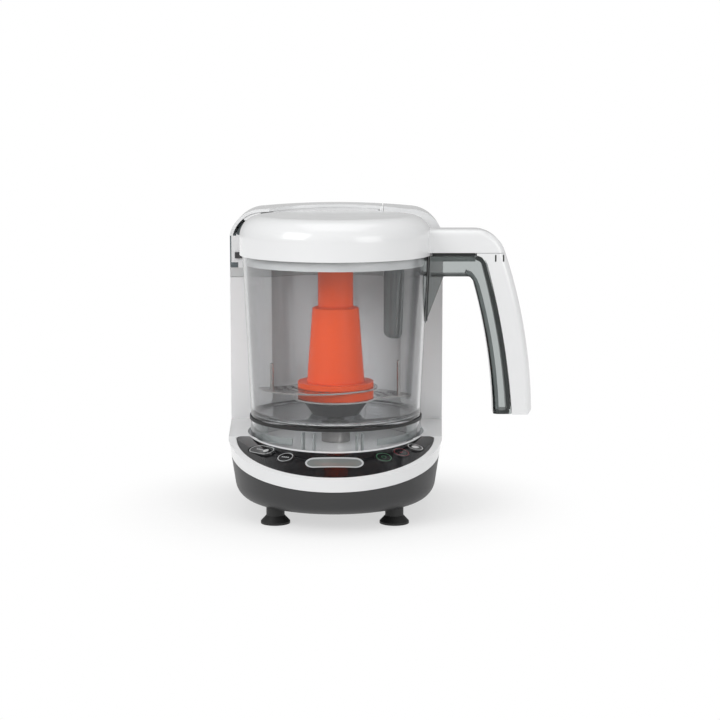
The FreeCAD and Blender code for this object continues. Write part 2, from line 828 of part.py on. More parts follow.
catch_inset = size("catch_inset", 4.7)
catch_width = size("catch_width", 5.6)
catch_low = size("catch_low", 186.5)
catch_height = size("catch_height", 4.8)
catch_depth = size("catch_depth", 1.4)
catch_left = half_width - catch_inset
keep(box("catch", (-catch_left, tower_front - catch_depth, catch_low),
         (catch_width - catch_left, tower_front, catch_low + catch_height)), "interlock_catch")

cap_block = storey("cap_block", tower_block, tray_bottom, far_top, left=cap_left)
cap_room = storey("cap_room", tower_hollow, tray_bottom + wall, far_top, left=cap_left + wall)
keep(cut("cap", cap_block, cap_room, pipe_hole), "tower_cap")


# Water tank with its cover

hinge_radius = size("hinge_radius", 3.0)
hinge_pin = size("hinge_pin", 1.2)
hinge_out = size("hinge_out", 1.2)
hinge_length = size("hinge_length", 9.0)
hinge_left = size("hinge_left", 58.0)
hinge_span = size("hinge_span", 62.0)
hinge_gap = size("hinge_gap", 0.3)
hinge_y = back_reach + hinge_out
hinge_z = tank_top + seam / 2
tank_front = tower_front + fascia_thickness + seam
lug_starts = [-hinge_left, -hinge_left + hinge_span]
ear_starts = [-hinge_left + hinge_length + hinge_gap, -hinge_left + hinge_span - hinge_length - hinge_gap]


def knuckles(name, starts, radius, gap):
    """Short rods along the cover's hinge line."""
    return [rod(f"{name}_{place}", radius + gap, start - gap, start + hinge_length + gap, hinge_y, hinge_z)
            for place, start in enumerate(starts)]


tank_form = storey("tank_form", tower_block, tank_bottom, tank_top, right=tank_right, front=tank_front)
tank_room = storey("tank_room", tower_hollow, tank_bottom + wall, far_top, right=tank_right - wall,
                   front=tank_front + wall)
tank_solid = fuse("tank_solid", tank_form, *knuckles("tank_lug", lug_starts, hinge_radius, 0))
pin_hole = rod("pin_hole", hinge_pin, -far_side, far_side, hinge_y, hinge_z)
ear_rooms = knuckles("ear_room", ear_starts, hinge_radius, hinge_gap)
tank = cut("tank", tank_solid, tank_room, pin_hole, *ear_rooms)
keep(tank, "water_tank")
keep(cylinder("valve", valve_radius, tank_bottom - valve_length, tank_bottom, -valve_x, valve_y),
     "tank_valve")
keep(rod("cover_pin", hinge_pin, -hinge_left, -hinge_left + hinge_span + hinge_length, hinge_y, hinge_z),
     "cover_hinge_pin")

cover_block = storey("cover_block", tower_block, cover_low, far_top, right=tank_right)
cover_room = storey("cover_room", tower_inside, well_floor, far_top, right=tank_right - wall)
cover_shell = cut("cover_shell", cover_block, cover_room)
cover_solid = fuse("cover_solid", cover_shell, *knuckles("cover_ear", ear_starts, hinge_radius, 0))
ear_hole = rod("ear_hole", hinge_pin + running_gap, -far_side, far_side, hinge_y, hinge_z)
cover = cut("cover", cover_solid, ear_hole, *knuckles("lug_room", lug_starts, hinge_radius, hinge_gap))
keep(cover, "tank_cover")


# Bowl with its foot ring, steam channel and drive boss

bowl_rim_radius = size("bowl_rim_radius", 70.5)
bowl_foot_radius = size("bowl_foot_radius", 64.9)
bowl_skirt_radius = size("bowl_skirt_radius", 65.2)
bowl_rim_height = size("bowl_rim_height", 193.9)
bowl_wall = size("bowl_wall", 2.2)
bowl_floor_height = size("bowl_floor_height", 69.0)
bowl_floor = size("bowl_floor", 3.0)
bowl_round = size("bowl_round", 6.0)
foot_ring_height = size("foot_ring_height", 2.3)
foot_ring_depth = size("foot_ring_depth", 0.8)
foot_ring_proud = size("foot_ring_proud", 0.7)
shaft_bore = shaft_radius + running_gap
skirt_low = well_floor + seam
bowl_floor_top = bowl_floor_height + bowl_floor
groove_top = bowl_floor_height + foot_ring_height
groove_radius = bowl_skirt_radius - foot_ring_depth
skirt_inside = bowl_skirt_radius - bowl_wall
bowl_inside_foot = bowl_foot_radius - bowl_wall
bowl_inside_rim = bowl_rim_radius - bowl_wall
bowl = turned("bowl_form",
              [(shaft_bore, bowl_floor_height), (skirt_inside, bowl_floor_height),
               (skirt_inside, skirt_low), (bowl_skirt_radius, skirt_low),
               (bowl_skirt_radius, bowl_floor_height), (groove_radius, bowl_floor_height),
               (groove_radius, groove_top), (bowl_foot_radius, groove_top),
               (bowl_rim_radius, bowl_rim_height), (bowl_inside_rim, bowl_rim_height),
               (bowl_inside_foot, bowl_floor_top), (shaft_bore, bowl_floor_top)],
              [(bowl_round, ring_at(bowl_inside_foot, bowl_floor_top))])
keep(bowl, "bowl")
keep(turned("foot_ring_form",
            [(groove_radius + fit_gap, bowl_floor_height + fit_gap),
             (bowl_skirt_radius + foot_ring_proud, bowl_floor_height + fit_gap),
             (bowl_skirt_radius + foot_ring_proud, groove_top - fit_gap),
             (groove_radius + fit_gap, groove_top - fit_gap)]), "bowl_foot_ring")

channel_angle = size("channel_angle", 45.0)
channel_radius = size("channel_radius", 9.5)
channel_ring = size("channel_ring", 66.5)
channel_low = size("channel_low", 124.0)
channel_drop = size("channel_drop", 8.0)
channel_round = size("channel_round", 6.0)
channel_top = bowl_rim_height - channel_drop
channel_body = new_body("channel_body")
channel_sketch = new_sketch(channel_body, "XY_Plane", channel_low)
add_circle(channel_sketch, channel_radius,
           channel_ring * channel_angle.cosine(), channel_ring * channel_angle.sine())
pad(channel_body, channel_sketch, channel_top - channel_low)
fillet(channel_body, channel_round, at_height(channel_low))
bowl_space = turned("bowl_space", [(0, bowl_floor_top), (bowl_inside_foot - fit_gap, bowl_floor_top),
                                   (bowl_inside_rim - fit_gap, bowl_rim_height), (0, bowl_rim_height)])
keep(common("channel", channel_body, bowl_space), "steam_channel")

boss_foot = size("boss_foot", 18.0)
boss_brim = size("boss_brim", 25.5)
boss_brim_height = size("boss_brim_height", 82.6)
boss_neck = size("boss_neck", 12.5)
boss_tip = size("boss_tip", 9.5)
boss_top = size("boss_top", 124.0)
brim_rise = size("brim_rise", 0.6)
keep(turned("boss_form",
            [(shaft_bore, bowl_floor_top), (boss_foot, bowl_floor_top), (boss_brim, boss_brim_height),
             (boss_neck, boss_brim_height + brim_rise), (boss_tip, boss_top), (shaft_bore, boss_top)]),
     "drive_boss")


# Handle: smoky grip with its bracket, and the white shell over it

handle_foot = size("handle_foot", 73.0)
handle_reach = size("handle_reach", 149.2)
handle_heel = size("handle_heel", 77.0)
handle_shoulder = size("handle_shoulder", 128.2)
handle_outer_bow = size("handle_outer_bow", 400.0)
shell_inner_foot = size("shell_inner_foot", 134.2)
shell_inner_knee = size("shell_inner_knee", 114.8)
shell_knee_height = size("shell_knee_height", 186.4)
shell_inner_top = size("shell_inner_top", 106.5)
shell_bow = size("shell_bow", 590.0)
shell_knee_round = size("shell_knee_round", 9.5)
shell_lip_depth = size("shell_lip_depth", 1.8)
shell_width = size("shell_width", 28.0)
shell_round = size("shell_round", 6.0)
grip_bar_low = size("grip_bar_low", 178.2)
grip_bar_end = size("grip_bar_end", 99.5)
grip_inner_knee = size("grip_inner_knee", 104.4)
grip_knee_height = size("grip_knee_height", 173.4)
grip_inner_foot = size("grip_inner_foot", 120.2)
grip_inner_bow = size("grip_inner_bow", 420.0)
grip_knee_round = size("grip_knee_round", 6.0)
grip_width = size("grip_width", 22.0)
grip_round = size("grip_round", 3.5)
grip_gap = size("grip_gap", 0.3)
gusset_low = size("gusset_low", 142.0)
gusset_reach = size("gusset_reach", 83.4)
gusset_width = size("gusset_width", 9.0)
arm_low = size("arm_low", 196.2)
slot_width = size("slot_width", 1.1)
slot_height = size("slot_height", 5.0)
slot_depth = size("slot_depth", 1.5)
slot_first = size("slot_first", 120.0)
slot_pitch = size("slot_pitch", 6.0)
slot_drop = size("slot_drop", 1.2)
shell_top = arm_low - seam
shell_lip = shell_top - shell_lip_depth


def long_side_edges(width, shortest, within):
    """Chooses the long edges on both flat sides of a handle piece whose middles lie within a range of x."""
    half, least = as_size(width).value / 2, as_size(shortest).value
    left, right = (as_size(limit).value for limit in within)

    def chosen(edge):
        extent = edge.BoundBox
        flat = extent.YLength < TOUCH and abs(abs(extent.YMin) - half) < TOUCH
        return flat and edge.Length > least and left < extent.Center.x < right
    return chosen


shell = profile("shell_form",
                [(shell_inner_top, shell_top), (handle_shoulder, shell_top, handle_outer_bow, -1),
                 (handle_reach, handle_heel), (handle_reach - shell_round / 2, handle_foot),
                 (shell_inner_foot, handle_foot, shell_bow, 1),
                 (shell_inner_knee, shell_knee_height, shell_knee_round, 1), (shell_inner_top, shell_lip)],
                shell_width)
fillet(shell, shell_round, long_side_edges(shell_width, shell_width, (handle_shoulder, handle_reach)))
shell_slots = []
for place in (0, 1):
    start = slot_first + slot_pitch * place
    for side in (-1, 1):
        face = shell_width / 2 * side
        inner = face - slot_depth * side
        front, back = (face, inner) if side < 0 else (inner, face)
        slot_low = shell_top - slot_drop - slot_height
        shell_slots.append(box(f"slot_{place}_{side + 1}", (start, front, slot_low),
                               (start + slot_width, back, slot_low + slot_height)))
keep(cut("handle", shell, *shell_slots), "handle_shell")

bowl_outside = turned("bowl_outside", [(0, skirt_low), (bowl_foot_radius + fit_gap, skirt_low),
                                       (bowl_foot_radius + fit_gap, groove_top),
                                       (bowl_rim_radius + fit_gap, bowl_rim_height),
                                       (bowl_rim_radius + fit_gap, far_top), (0, far_top)])
grip_bar = profile("grip_bar",
                   [(bowl_foot_radius, grip_bar_low), (grip_bar_end, grip_bar_low, grip_knee_round, -1),
                    (grip_inner_knee, grip_knee_height, grip_inner_bow, -1), (grip_inner_foot, handle_foot),
                    (shell_inner_foot - grip_gap, handle_foot, shell_bow, 1),
                    (shell_inner_knee - grip_gap, shell_knee_height - grip_gap, shell_knee_round, 1),
                    (shell_inner_top - grip_gap, shell_lip - grip_gap),
                    (bowl_foot_radius, shell_lip - grip_gap)],
                   grip_width)
inner_edge = long_side_edges(grip_width, grip_width * 2, (grip_inner_knee, grip_inner_foot))
fillet(grip_bar, grip_round, inner_edge)
gusset_top = grip_bar_low + grip_round
gusset = profile("gusset", [(bowl_foot_radius, gusset_low), (bowl_inside_rim, gusset_low),
                            (gusset_reach, gusset_top), (bowl_foot_radius, gusset_top)], gusset_width)
keep(cut("grip", fuse("grip_solid", grip_bar, gusset), bowl_outside), "handle_grip")


# Blade: hub, spindle, two perforated wings and their upright pins

hub_flange = size("hub_flange", 29.0)
hub_low = size("hub_low", 85.0)
hub_flange_height = size("hub_flange_height", 12.0)
hub_skirt = size("hub_skirt", 22.0)
hub_shoulder = size("hub_shoulder", 17.6)
hub_shoulder_height = size("hub_shoulder_height", 153.5)
hub_step = size("hub_step", 1.5)
hub_neck = size("hub_neck", 13.4)
hub_top = size("hub_top", 191.0)
hub_wall = size("hub_wall", 3.2)
hub_socket_low = size("hub_socket_low", 128.0)
hub_socket_top = size("hub_socket_top", 150.0)
hub_round = size("hub_round", 2.0)
hub_flange_top = hub_low + hub_flange_height
hub_ledge = hub_skirt - hub_wall
hub = turned("hub_form",
             [(0, hub_socket_top), (shaft_radius + fit_gap, hub_socket_top),
              (shaft_radius + fit_gap, hub_socket_low), (hub_shoulder - hub_wall, hub_socket_low),
              (hub_ledge, hub_flange_top), (hub_ledge, hub_low), (hub_flange, hub_low),
              (hub_flange, hub_flange_top), (hub_skirt, hub_flange_top),
              (hub_shoulder, hub_shoulder_height),
              (hub_neck, hub_shoulder_height + hub_step), (hub_neck, hub_top), (0, hub_top)],
             [(hub_round, ring_at(hub_neck, hub_top))])
keep(hub, "blade_hub")

hex_radius = size("hex_radius", 6.5)
hex_low = size("hex_low", 54.5)
hex_top = size("hex_top", 66.0)
hex_gap = size("hex_gap", 0.35)


def hexagon(name, radius, low, high):
    """An upright six-sided bar about the Z axis."""
    feature = doc.addObject("Part::Prism", name)
    feature.Polygon = 6
    bind(feature, "Circumradius", radius)
    bind(feature, "Height", as_size(high) - low)
    bind(feature, "Placement.Base.z", low)
    return feature


spindle_top = hub_socket_top - seam
spindle = fuse("spindle", cylinder("spindle_rod", shaft_radius, hex_low, spindle_top),
               hexagon("spindle_hex", hex_radius, hex_low, hex_top))
keep(spindle, "blade_spindle")

wing_thickness = size("wing_thickness", 1.2)
wing_tip_x = size("wing_tip_x", 59.0)
wing_tip_y = size("wing_tip_y", 6.0)
wing_ring = size("wing_ring", 32.0)
wing_drop = size("wing_drop", 5.0)
wing_outer_bow = size("wing_outer_bow", 46.0)
wing_inner_bow = size("wing_inner_bow", 40.0)
wing_front_angle = size("wing_front_angle", 62.0)
wing_middle_angle = size("wing_middle_angle", 39.0)
wing_back_angle = size("wing_back_angle", 40.0)
wing_tip_round = size("wing_tip_round", 2.0)
wing_hole = size("wing_hole", 1.7)
wing_hole_start = size("wing_hole_start", 7.0)
wing_hole_pitch = size("wing_hole_pitch", 5.2)
hole_rows = [(size("hole_row_inner", 33.0), 9), (size("hole_row_middle", 39.5), 7),
             (size("hole_row_outer", 46.0), 4)]
pin_radius = size("pin_radius", 1.4)
pin_ring = size("pin_ring", 49.2)
pin_angle = size("pin_angle", 10.0)
pin_top = size("pin_top", 112.0)
pin_round = size("pin_round", 1.35)


def wing(name, low, hole):
    """A sickle of sheet steel round the hub, pierced with rows of round holes."""
    body = new_body(name)
    outline = new_sketch(body, "XY_Plane", low)
    add_loop(outline, [
        (-wing_tip_x, -wing_tip_y, wing_outer_bow, 1),
        (wing_ring * wing_front_angle.cosine(), -(wing_ring * wing_front_angle.sine()), wing_ring, 1),
        (wing_ring * wing_middle_angle.cosine(), wing_ring * wing_middle_angle.sine(), wing_ring, 1),
        (-(wing_ring * wing_back_angle.cosine()), wing_ring * wing_back_angle.sine(), wing_inner_bow, -1)])
    add_circle(outline, hole)
    pad(body, outline, wing_thickness)

    def tip(edge):
        return edge.BoundBox.ZLength > LOOSE and edge.BoundBox.XMin < LOOSE - wing_tip_x.value
    fillet(body, wing_tip_round, tip)
    holes = new_sketch(body, "XY_Plane", as_size(low) + wing_thickness)
    for ring, count in hole_rows:
        step = wing_hole_pitch / ring * RADIAN
        for place in range(count):
            angle = wing_hole_start + step * place
            add_circle(holes, wing_hole, -(ring * angle.cosine()), -(ring * angle.sine()))
    pocket(body, holes, wing_thickness)
    return body


def wing_pin(name, low):
    """An upright pin with a round top near a wing's tip."""
    body = new_body(name)
    outline = new_sketch(body, "XY_Plane", low)
    add_circle(outline, pin_radius, -(pin_ring * pin_angle.cosine()), -(pin_ring * pin_angle.sine()))
    pad(body, outline, pin_top - low)
    fillet(body, pin_round, at_height(pin_top))
    return body


HALF_TURN = Rotation(Z_AXIS, 180)
upper_low = hub_flange_top - wing_drop
lower_low = hub_low - wing_thickness
keep(wing("upper_wing", upper_low, hub_flange + fit_gap), "upper_blade")
keep(wing_pin("upper_wing_pin", upper_low + wing_thickness), "upper_blade_pin")
for piece, label in ((wing("lower_wing", lower_low, hub_skirt), "lower_blade"),
                     (wing_pin("lower_wing_pin", lower_low + wing_thickness), "lower_blade_pin")):
    piece.Placement = Placement(Vector(), HALF_TURN)
    keep(piece, label)


# Drive coupler on the motor shaft

coupler_radius = size("coupler_radius", 11.0)
coupler_top = size("coupler_top", 60.5)
coupler_floor = size("coupler_floor", 2.5)
coupler_low = well_floor + seam
coupler_body = cylinder("coupler_body", coupler_radius, coupler_low, coupler_top)
socket_low = coupler_low + coupler_floor
coupler_socket = hexagon("coupler_socket", hex_radius + hex_gap, socket_low, coupler_top + seam)
motor_shaft = cylinder("motor_shaft", shaft_radius, motor_low, socket_low)
keep(fuse("coupler", cut("coupler_cup", coupler_body, coupler_socket), motor_shaft), "drive_coupler")


# Lid with its arm over the handle, its liner and seal

lid_radius = size("lid_radius", 72.6)
lid_top = size("lid_top", 224.0)
lid_shoulder = size("lid_shoulder", 16.0)
lid_wall = size("lid_wall", 2.4)
arm_top = size("arm_top", 213.7)
arm_bend_start = size("arm_bend_start", 105.0)
arm_bend = size("arm_bend", 24.0)
arm_width = size("arm_width", 28.0)
arm_round = size("arm_round", 5.0)
liner_low = size("liner_low", 187.0)
liner_wall = size("liner_wall", 2.4)
liner_gap = size("liner_gap", 0.7)
liner_plate = size("liner_plate", 206.0)
liner_thickness = size("liner_thickness", 2.0)
liner_hole = size("liner_hole", 6.0)
seal_height = size("seal_height", 2.2)
lid_low = bowl_rim_height + seam
lid_outside = turned("lid_outside",
                     [(0, lid_low), (lid_radius, lid_low), (lid_radius, lid_top), (0, lid_top)],
                     [(lid_shoulder, ring_at(lid_radius, lid_top))])
lid_inner_radius = lid_radius - lid_wall
lid_inner_top = lid_top - lid_wall
lid_inside = turned("lid_inside", [(0, lid_low - wall), (lid_inner_radius, lid_low - wall),
                                   (lid_inner_radius, lid_inner_top), (0, lid_inner_top)],
                    [(lid_shoulder - lid_wall, ring_at(lid_inner_radius, lid_inner_top))])
bend_fall = arm_bend - (arm_top - arm_low)
bend_reach = (arm_bend * arm_bend - bend_fall * bend_fall).root()
arm_root = bowl_foot_radius - arm_bend
arm = profile("arm", [(arm_root, arm_low), (arm_bend_start + bend_reach, arm_low, arm_bend, 1),
                      (arm_bend_start, arm_top), (arm_root, arm_top)], arm_width)


def arm_edges(edge):
    """Chooses the upper edges on both sides of the arm, and its end's upright ones."""
    extent = edge.BoundBox
    return extent.YLength < TOUCH and extent.ZMax > arm_low.value + LOOSE and extent.Center.x > 0


fillet(arm, arm_round, arm_edges)
keep(cut("lid", fuse("lid_solid", lid_outside, arm), lid_inside), "lid")

liner_radius = bowl_inside_foot + (bowl_inside_rim - bowl_inside_foot) * (
    (liner_low - bowl_floor_top) / (bowl_rim_height - bowl_floor_top)) - liner_gap
plate_radius = lid_inner_radius - seam
plate_low = liner_plate - liner_thickness
keep(turned("liner", [(liner_hole, plate_low), (liner_radius - liner_wall, plate_low),
                      (liner_radius - liner_wall, liner_low), (liner_radius, liner_low),
                      (liner_radius, plate_low), (plate_radius, plate_low), (plate_radius, liner_plate),
                      (liner_hole, liner_plate)]), "lid_liner")
seal_inside = liner_radius + fit_gap
seal_top = lid_low + seal_height
keep(turned("seal", [(seal_inside, lid_low), (plate_radius, lid_low), (plate_radius, seal_top),
                     (seal_inside, seal_top)]), "lid_seal")


# Move the origin under the middle of the appliance and write the pieces

doc.recompute()
failed = [feature.Name for feature in doc.Objects if {"Invalid", "Error"} & set(feature.State)]
assert not failed, f"features that did not build: {failed}"
outer = FreeCAD.BoundBox()
for piece in subparts:
    assert not piece.Shape.isNull() and piece.Shape.isValid(), f"bad solid: {piece.Label}"
    outer.add(piece.Shape.optimalBoundingBox())
shift = Vector(-outer.Center.x, -outer.Center.y, 0)
for piece in subparts:
    for axis, distance in (("x", shift.x), ("y", shift.y)):
        path = f"Placement.Base.{axis}"
        drawn = dict(piece.ExpressionEngine).get(path, repr(getattr(piece.Placement.Base, axis)))
        piece.setExpression(path, f"{drawn} + {distance!r}")
doc.recompute()
os.makedirs("parts", exist_ok=True)
for piece in subparts:
    piece.Shape.exportStep(f"parts/{piece.Label}.step")
print(f"{len(subparts)} pieces, {outer.XLength:.1f} x {outer.YLength:.1f} x {outer.ZLength:.1f} mm")
print(f"bowl axis at {shift.x:.3f}, {shift.y:.3f}")
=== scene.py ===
# %% [markdown]
# # Dressing a baby food maker
#
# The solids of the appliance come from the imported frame: base, tower, bowl, blade, lid, tank and keys.
# In this lesson they get their finishes, a few modelled details, and a studio to stand in. The details
# are placed from the bowl's upright axis, because the appliance is built round it.

# %% Load the frame
import json
import math

import bpy
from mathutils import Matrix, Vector


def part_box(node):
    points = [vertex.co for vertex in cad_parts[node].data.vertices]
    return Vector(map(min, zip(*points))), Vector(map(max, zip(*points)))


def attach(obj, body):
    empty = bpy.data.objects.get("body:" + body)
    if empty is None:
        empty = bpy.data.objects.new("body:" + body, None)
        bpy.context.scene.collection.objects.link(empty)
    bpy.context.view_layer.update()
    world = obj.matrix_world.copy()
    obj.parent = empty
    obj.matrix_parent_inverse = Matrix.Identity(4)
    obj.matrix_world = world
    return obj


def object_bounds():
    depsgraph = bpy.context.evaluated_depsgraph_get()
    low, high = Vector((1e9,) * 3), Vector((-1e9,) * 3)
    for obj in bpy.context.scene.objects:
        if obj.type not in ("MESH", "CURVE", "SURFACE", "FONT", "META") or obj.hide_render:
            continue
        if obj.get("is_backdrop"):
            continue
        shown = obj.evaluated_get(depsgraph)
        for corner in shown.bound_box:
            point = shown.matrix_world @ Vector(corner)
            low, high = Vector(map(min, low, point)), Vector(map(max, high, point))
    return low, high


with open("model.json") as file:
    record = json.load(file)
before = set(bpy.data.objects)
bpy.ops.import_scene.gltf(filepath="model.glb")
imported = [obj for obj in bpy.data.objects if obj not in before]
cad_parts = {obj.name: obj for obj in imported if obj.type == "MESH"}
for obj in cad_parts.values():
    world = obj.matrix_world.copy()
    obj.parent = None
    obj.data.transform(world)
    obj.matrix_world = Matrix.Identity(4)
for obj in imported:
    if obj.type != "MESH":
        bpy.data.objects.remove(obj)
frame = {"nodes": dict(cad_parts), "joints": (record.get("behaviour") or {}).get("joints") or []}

NODES = frame["nodes"]
MILLIMETRE = 0.001
cad_low, cad_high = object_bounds()
middle = (cad_low + cad_high) / 2
BOWL_AXIS = Vector(next(joint["pos_m"] for joint in frame["joints"] if joint["name"] == "blade_spin"))
BOWL_AXIS.z = 0.0
print("pieces in the frame:", len(NODES), "box", tuple(cad_high - cad_low))

# %% [markdown]
# ## Shared surface effects
#
# Moulded plastic is never quite even: its gloss wanders a little, its colour drifts a little, and a
# textured tool leaves a fine grain. This could be drawn anew in every material. Here two node groups are
# built once, and each finish only chooses how strong they are. Object coordinates keep the patterns
# fixed to the piece.

# %% Group helpers
FLOAT, COLOUR, VECTOR = "NodeSocketFloat", "NodeSocketColor", "NodeSocketVector"
NOISE_LOW, NOISE_HIGH = 0.3, 0.7


def new_group(name, inputs, outputs):
    """An empty shader group with named sockets, and its two end nodes."""
    group = bpy.data.node_groups.new(name, "ShaderNodeTree")
    for title, kind, value in inputs:
        socket = group.interface.new_socket(name=title, in_out="INPUT", socket_type=kind)
        socket.default_value = value
    for title, kind in outputs:
        group.interface.new_socket(name=title, in_out="OUTPUT", socket_type=kind)
    return group, group.nodes.new("NodeGroupInput"), group.nodes.new("NodeGroupOutput")


def object_noise(tree, scale, detail):
    """Noise on the piece's own coordinates."""
    place = tree.nodes.new("ShaderNodeTexCoord")
    noise = tree.nodes.new("ShaderNodeTexNoise")
    noise.inputs["Detail"].default_value = detail
    tree.links.new(place.outputs["Object"], noise.inputs["Vector"])
    tree.links.new(scale, noise.inputs["Scale"])
    return noise.outputs[0]


def spread(tree, noise, low, high):
    """Stretch the middle range of a noise between the values of two sockets."""
    node = tree.nodes.new("ShaderNodeMapRange")
    node.inputs["From Min"].default_value = NOISE_LOW
    node.inputs["From Max"].default_value = NOISE_HIGH
    tree.links.new(noise, node.inputs["Value"])
    tree.links.new(low, node.inputs["To Min"])
    tree.links.new(high, node.inputs["To Max"])
    return node.outputs["Result"]


print("noise is stretched from", NOISE_LOW, "to", NOISE_HIGH)

# %% Grain group
GRAIN_SCALE = 900.0
GLOSS_SCALE = 18.0
SMOOTHEST, ROUGHEST = 0.2, 0.3
WANDER_DETAIL = 3.0
PIT_DETAIL = 1.0

grain_group, start, end = new_group(
    "moulded grain",
    [("Grain Scale", FLOAT, GRAIN_SCALE), ("Gloss Scale", FLOAT, GLOSS_SCALE),
     ("Smoothest", FLOAT, SMOOTHEST), ("Roughest", FLOAT, ROUGHEST)],
    [("Roughness", FLOAT), ("Height", FLOAT)])
wander = object_noise(grain_group, start.outputs["Gloss Scale"], WANDER_DETAIL)
pits = object_noise(grain_group, start.outputs["Grain Scale"], PIT_DETAIL)
gloss = spread(grain_group, wander, start.outputs["Smoothest"], start.outputs["Roughest"])
grain_group.links.new(gloss, end.inputs["Roughness"])
grain_group.links.new(pits, end.inputs["Height"])
print("group:", grain_group.name)

# %% Drift group
WHITE = (1.0, 1.0, 1.0)
BLACK = (0.0, 0.0, 0.0)
DRIFT_SCALE = 9.0
DRIFT_DETAIL = 2.0


def with_alpha(colour):
    return (*colour, 1.0)


drift_group, start, end = new_group(
    "colour drift",
    [("Light", COLOUR, with_alpha(WHITE)), ("Dark", COLOUR, with_alpha(BLACK)),
     ("Scale", FLOAT, DRIFT_SCALE)],
    [("Colour", COLOUR)])
blend_node = drift_group.nodes.new("ShaderNodeMix")
blend_node.data_type = "RGBA"
drift_noise = object_noise(drift_group, start.outputs["Scale"], DRIFT_DETAIL)
drift_group.links.new(drift_noise, blend_node.inputs["Factor"])
drift_group.links.new(start.outputs["Light"], blend_node.inputs["A"])
drift_group.links.new(start.outputs["Dark"], blend_node.inputs["B"])
drift_group.links.new(blend_node.outputs["Result"], end.inputs["Colour"])
print("group:", drift_group.name)

# %% [markdown]
# ## Opaque finishes
#
# Every opaque finish is one Principled shader. What differs is its pair of colours, how glossy it is and
# how deep its grain goes, so one function makes them all. Other sockets of the shader, such as the clear
# coat of a glossy plastic, are set by name.

# %% Finish maker
GRAIN_HEIGHT = 0.1 * MILLIMETRE


def add_group(tree, group, values):
    """Place a group in a material and set its inputs."""
    node = tree.nodes.new("ShaderNodeGroup")
    node.node_tree = group
    for title, value in values.items():
        node.inputs[title].default_value = value
    return node


def finish(name, light, dark, gloss_range, grain=GRAIN_SCALE, depth=0.0, drift=DRIFT_SCALE, **sockets):
    """A procedural material: colour drift, wandering gloss and grain, with plain values for the rest."""
    material = bpy.data.materials.new(name)
    material.use_nodes = True
    tree = material.node_tree
    shader = tree.nodes["Principled BSDF"]
    colours = {"Light": with_alpha(light), "Dark": with_alpha(dark), "Scale": drift}
    colour = add_group(tree, drift_group, colours)
    tree.links.new(colour.outputs["Colour"], shader.inputs["Base Color"])
    smoothest, roughest = gloss_range
    surface = {"Grain Scale": grain, "Smoothest": smoothest, "Roughest": roughest}
    texture = add_group(tree, grain_group, surface)
    tree.links.new(texture.outputs["Roughness"], shader.inputs["Roughness"])
    if depth:
        bump = tree.nodes.new("ShaderNodeBump")
        bump.inputs["Strength"].default_value = depth
        bump.inputs["Distance"].default_value = GRAIN_HEIGHT
        tree.links.new(texture.outputs["Height"], bump.inputs["Height"])
        tree.links.new(bump.outputs["Normal"], shader.inputs["Normal"])
    for title, value in sockets.items():
        shader.inputs[title.replace("_", " ")].default_value = value
    return material


def names_of(*materials):
    return [material.name for material in materials]


print("grain is at most", GRAIN_HEIGHT / MILLIMETRE, "mm high")

# %% Shell, pan, panel and rubber
white_gloss = finish("white gloss plastic", (0.85, 0.855, 0.86), (0.81, 0.815, 0.82), (0.16, 0.26),
                     depth=0.04, Coat_Weight=0.3, Coat_Roughness=0.08)
pan_grey = finish("dark grey grained plastic", (0.036, 0.036, 0.037), (0.027, 0.027, 0.028), (0.38, 0.5),
                  grain=2400.0, depth=0.25)
panel_black = finish("black gloss panel", (0.008, 0.008, 0.009), (0.005, 0.005, 0.006), (0.06, 0.12),
                     Coat_Weight=0.5, Coat_Roughness=0.03)
dark_moulded = finish("dark moulded plastic", (0.03, 0.03, 0.032), (0.02, 0.02, 0.021), (0.35, 0.5),
                      grain=1500.0, depth=0.15)
black_rubber = finish("black rubber", (0.018, 0.018, 0.018), (0.01, 0.01, 0.01), (0.45, 0.65),
                      grain=1600.0, depth=0.3)
print("outer finishes:", names_of(white_gloss, pan_grey, panel_black, dark_moulded, black_rubber))

# %% Display, liner, hub and steel
bezel_silver = finish("pale display trim", (0.62, 0.63, 0.64), (0.52, 0.53, 0.54), (0.25, 0.35), depth=0.05)
display_glass = finish("grey display lens", (0.25, 0.27, 0.26), (0.16, 0.175, 0.17), (0.05, 0.1),
                       drift=60.0, Coat_Weight=0.6, Coat_Roughness=0.02)
liner_pale = finish("pale lid liner", (0.62, 0.63, 0.63), (0.55, 0.56, 0.56), (0.3, 0.42), depth=0.08)
hub_orange = finish("satin orange plastic", (0.73, 0.07, 0.001), (0.63, 0.055, 0.001), (0.34, 0.46),
                    grain=1500.0, depth=0.1, Specular_IOR_Level=0.15)
steel_sheet = finish("stamped steel", (0.36, 0.35, 0.34), (0.25, 0.24, 0.235), (0.14, 0.26),
                     grain=1800.0, depth=0.1, Metallic=1.0)
print("inner finishes:", names_of(bezel_silver, display_glass, liner_pale, hub_orange, steel_sheet))

# %% Motor, boiler and board
motor_grey = finish("motor can", (0.2, 0.21, 0.22), (0.14, 0.145, 0.15), (0.3, 0.5), Metallic=1.0)
boiler_alloy = finish("cast boiler alloy", (0.5, 0.5, 0.51), (0.4, 0.4, 0.41), (0.35, 0.55),
                      depth=0.3, Metallic=1.0)
board_green = finish("circuit board", (0.02, 0.12, 0.05), (0.012, 0.08, 0.03), (0.25, 0.4), drift=140.0)
print("works finishes:", names_of(motor_grey, boiler_alloy, board_green))

# %% [markdown]
# ## Smoky plastic
#
# The bowl and the handle's core are clear plastic with a grey tint, and their walls look darkest where
# they are seen edge on. A plain tint leaves those edges too pale, so a Layer Weight node deepens it
# there. For shadow rays a tinted Transparent shader takes over, and the lamps light the inside of the
# bowl. The index of refraction is a little lower than that of real plastic, so that reflections on the
# bowl don't veil the hub inside it. The tank only has to show as a grey-blue mass, so it is an ordinary
# finish that lets half of the light through.

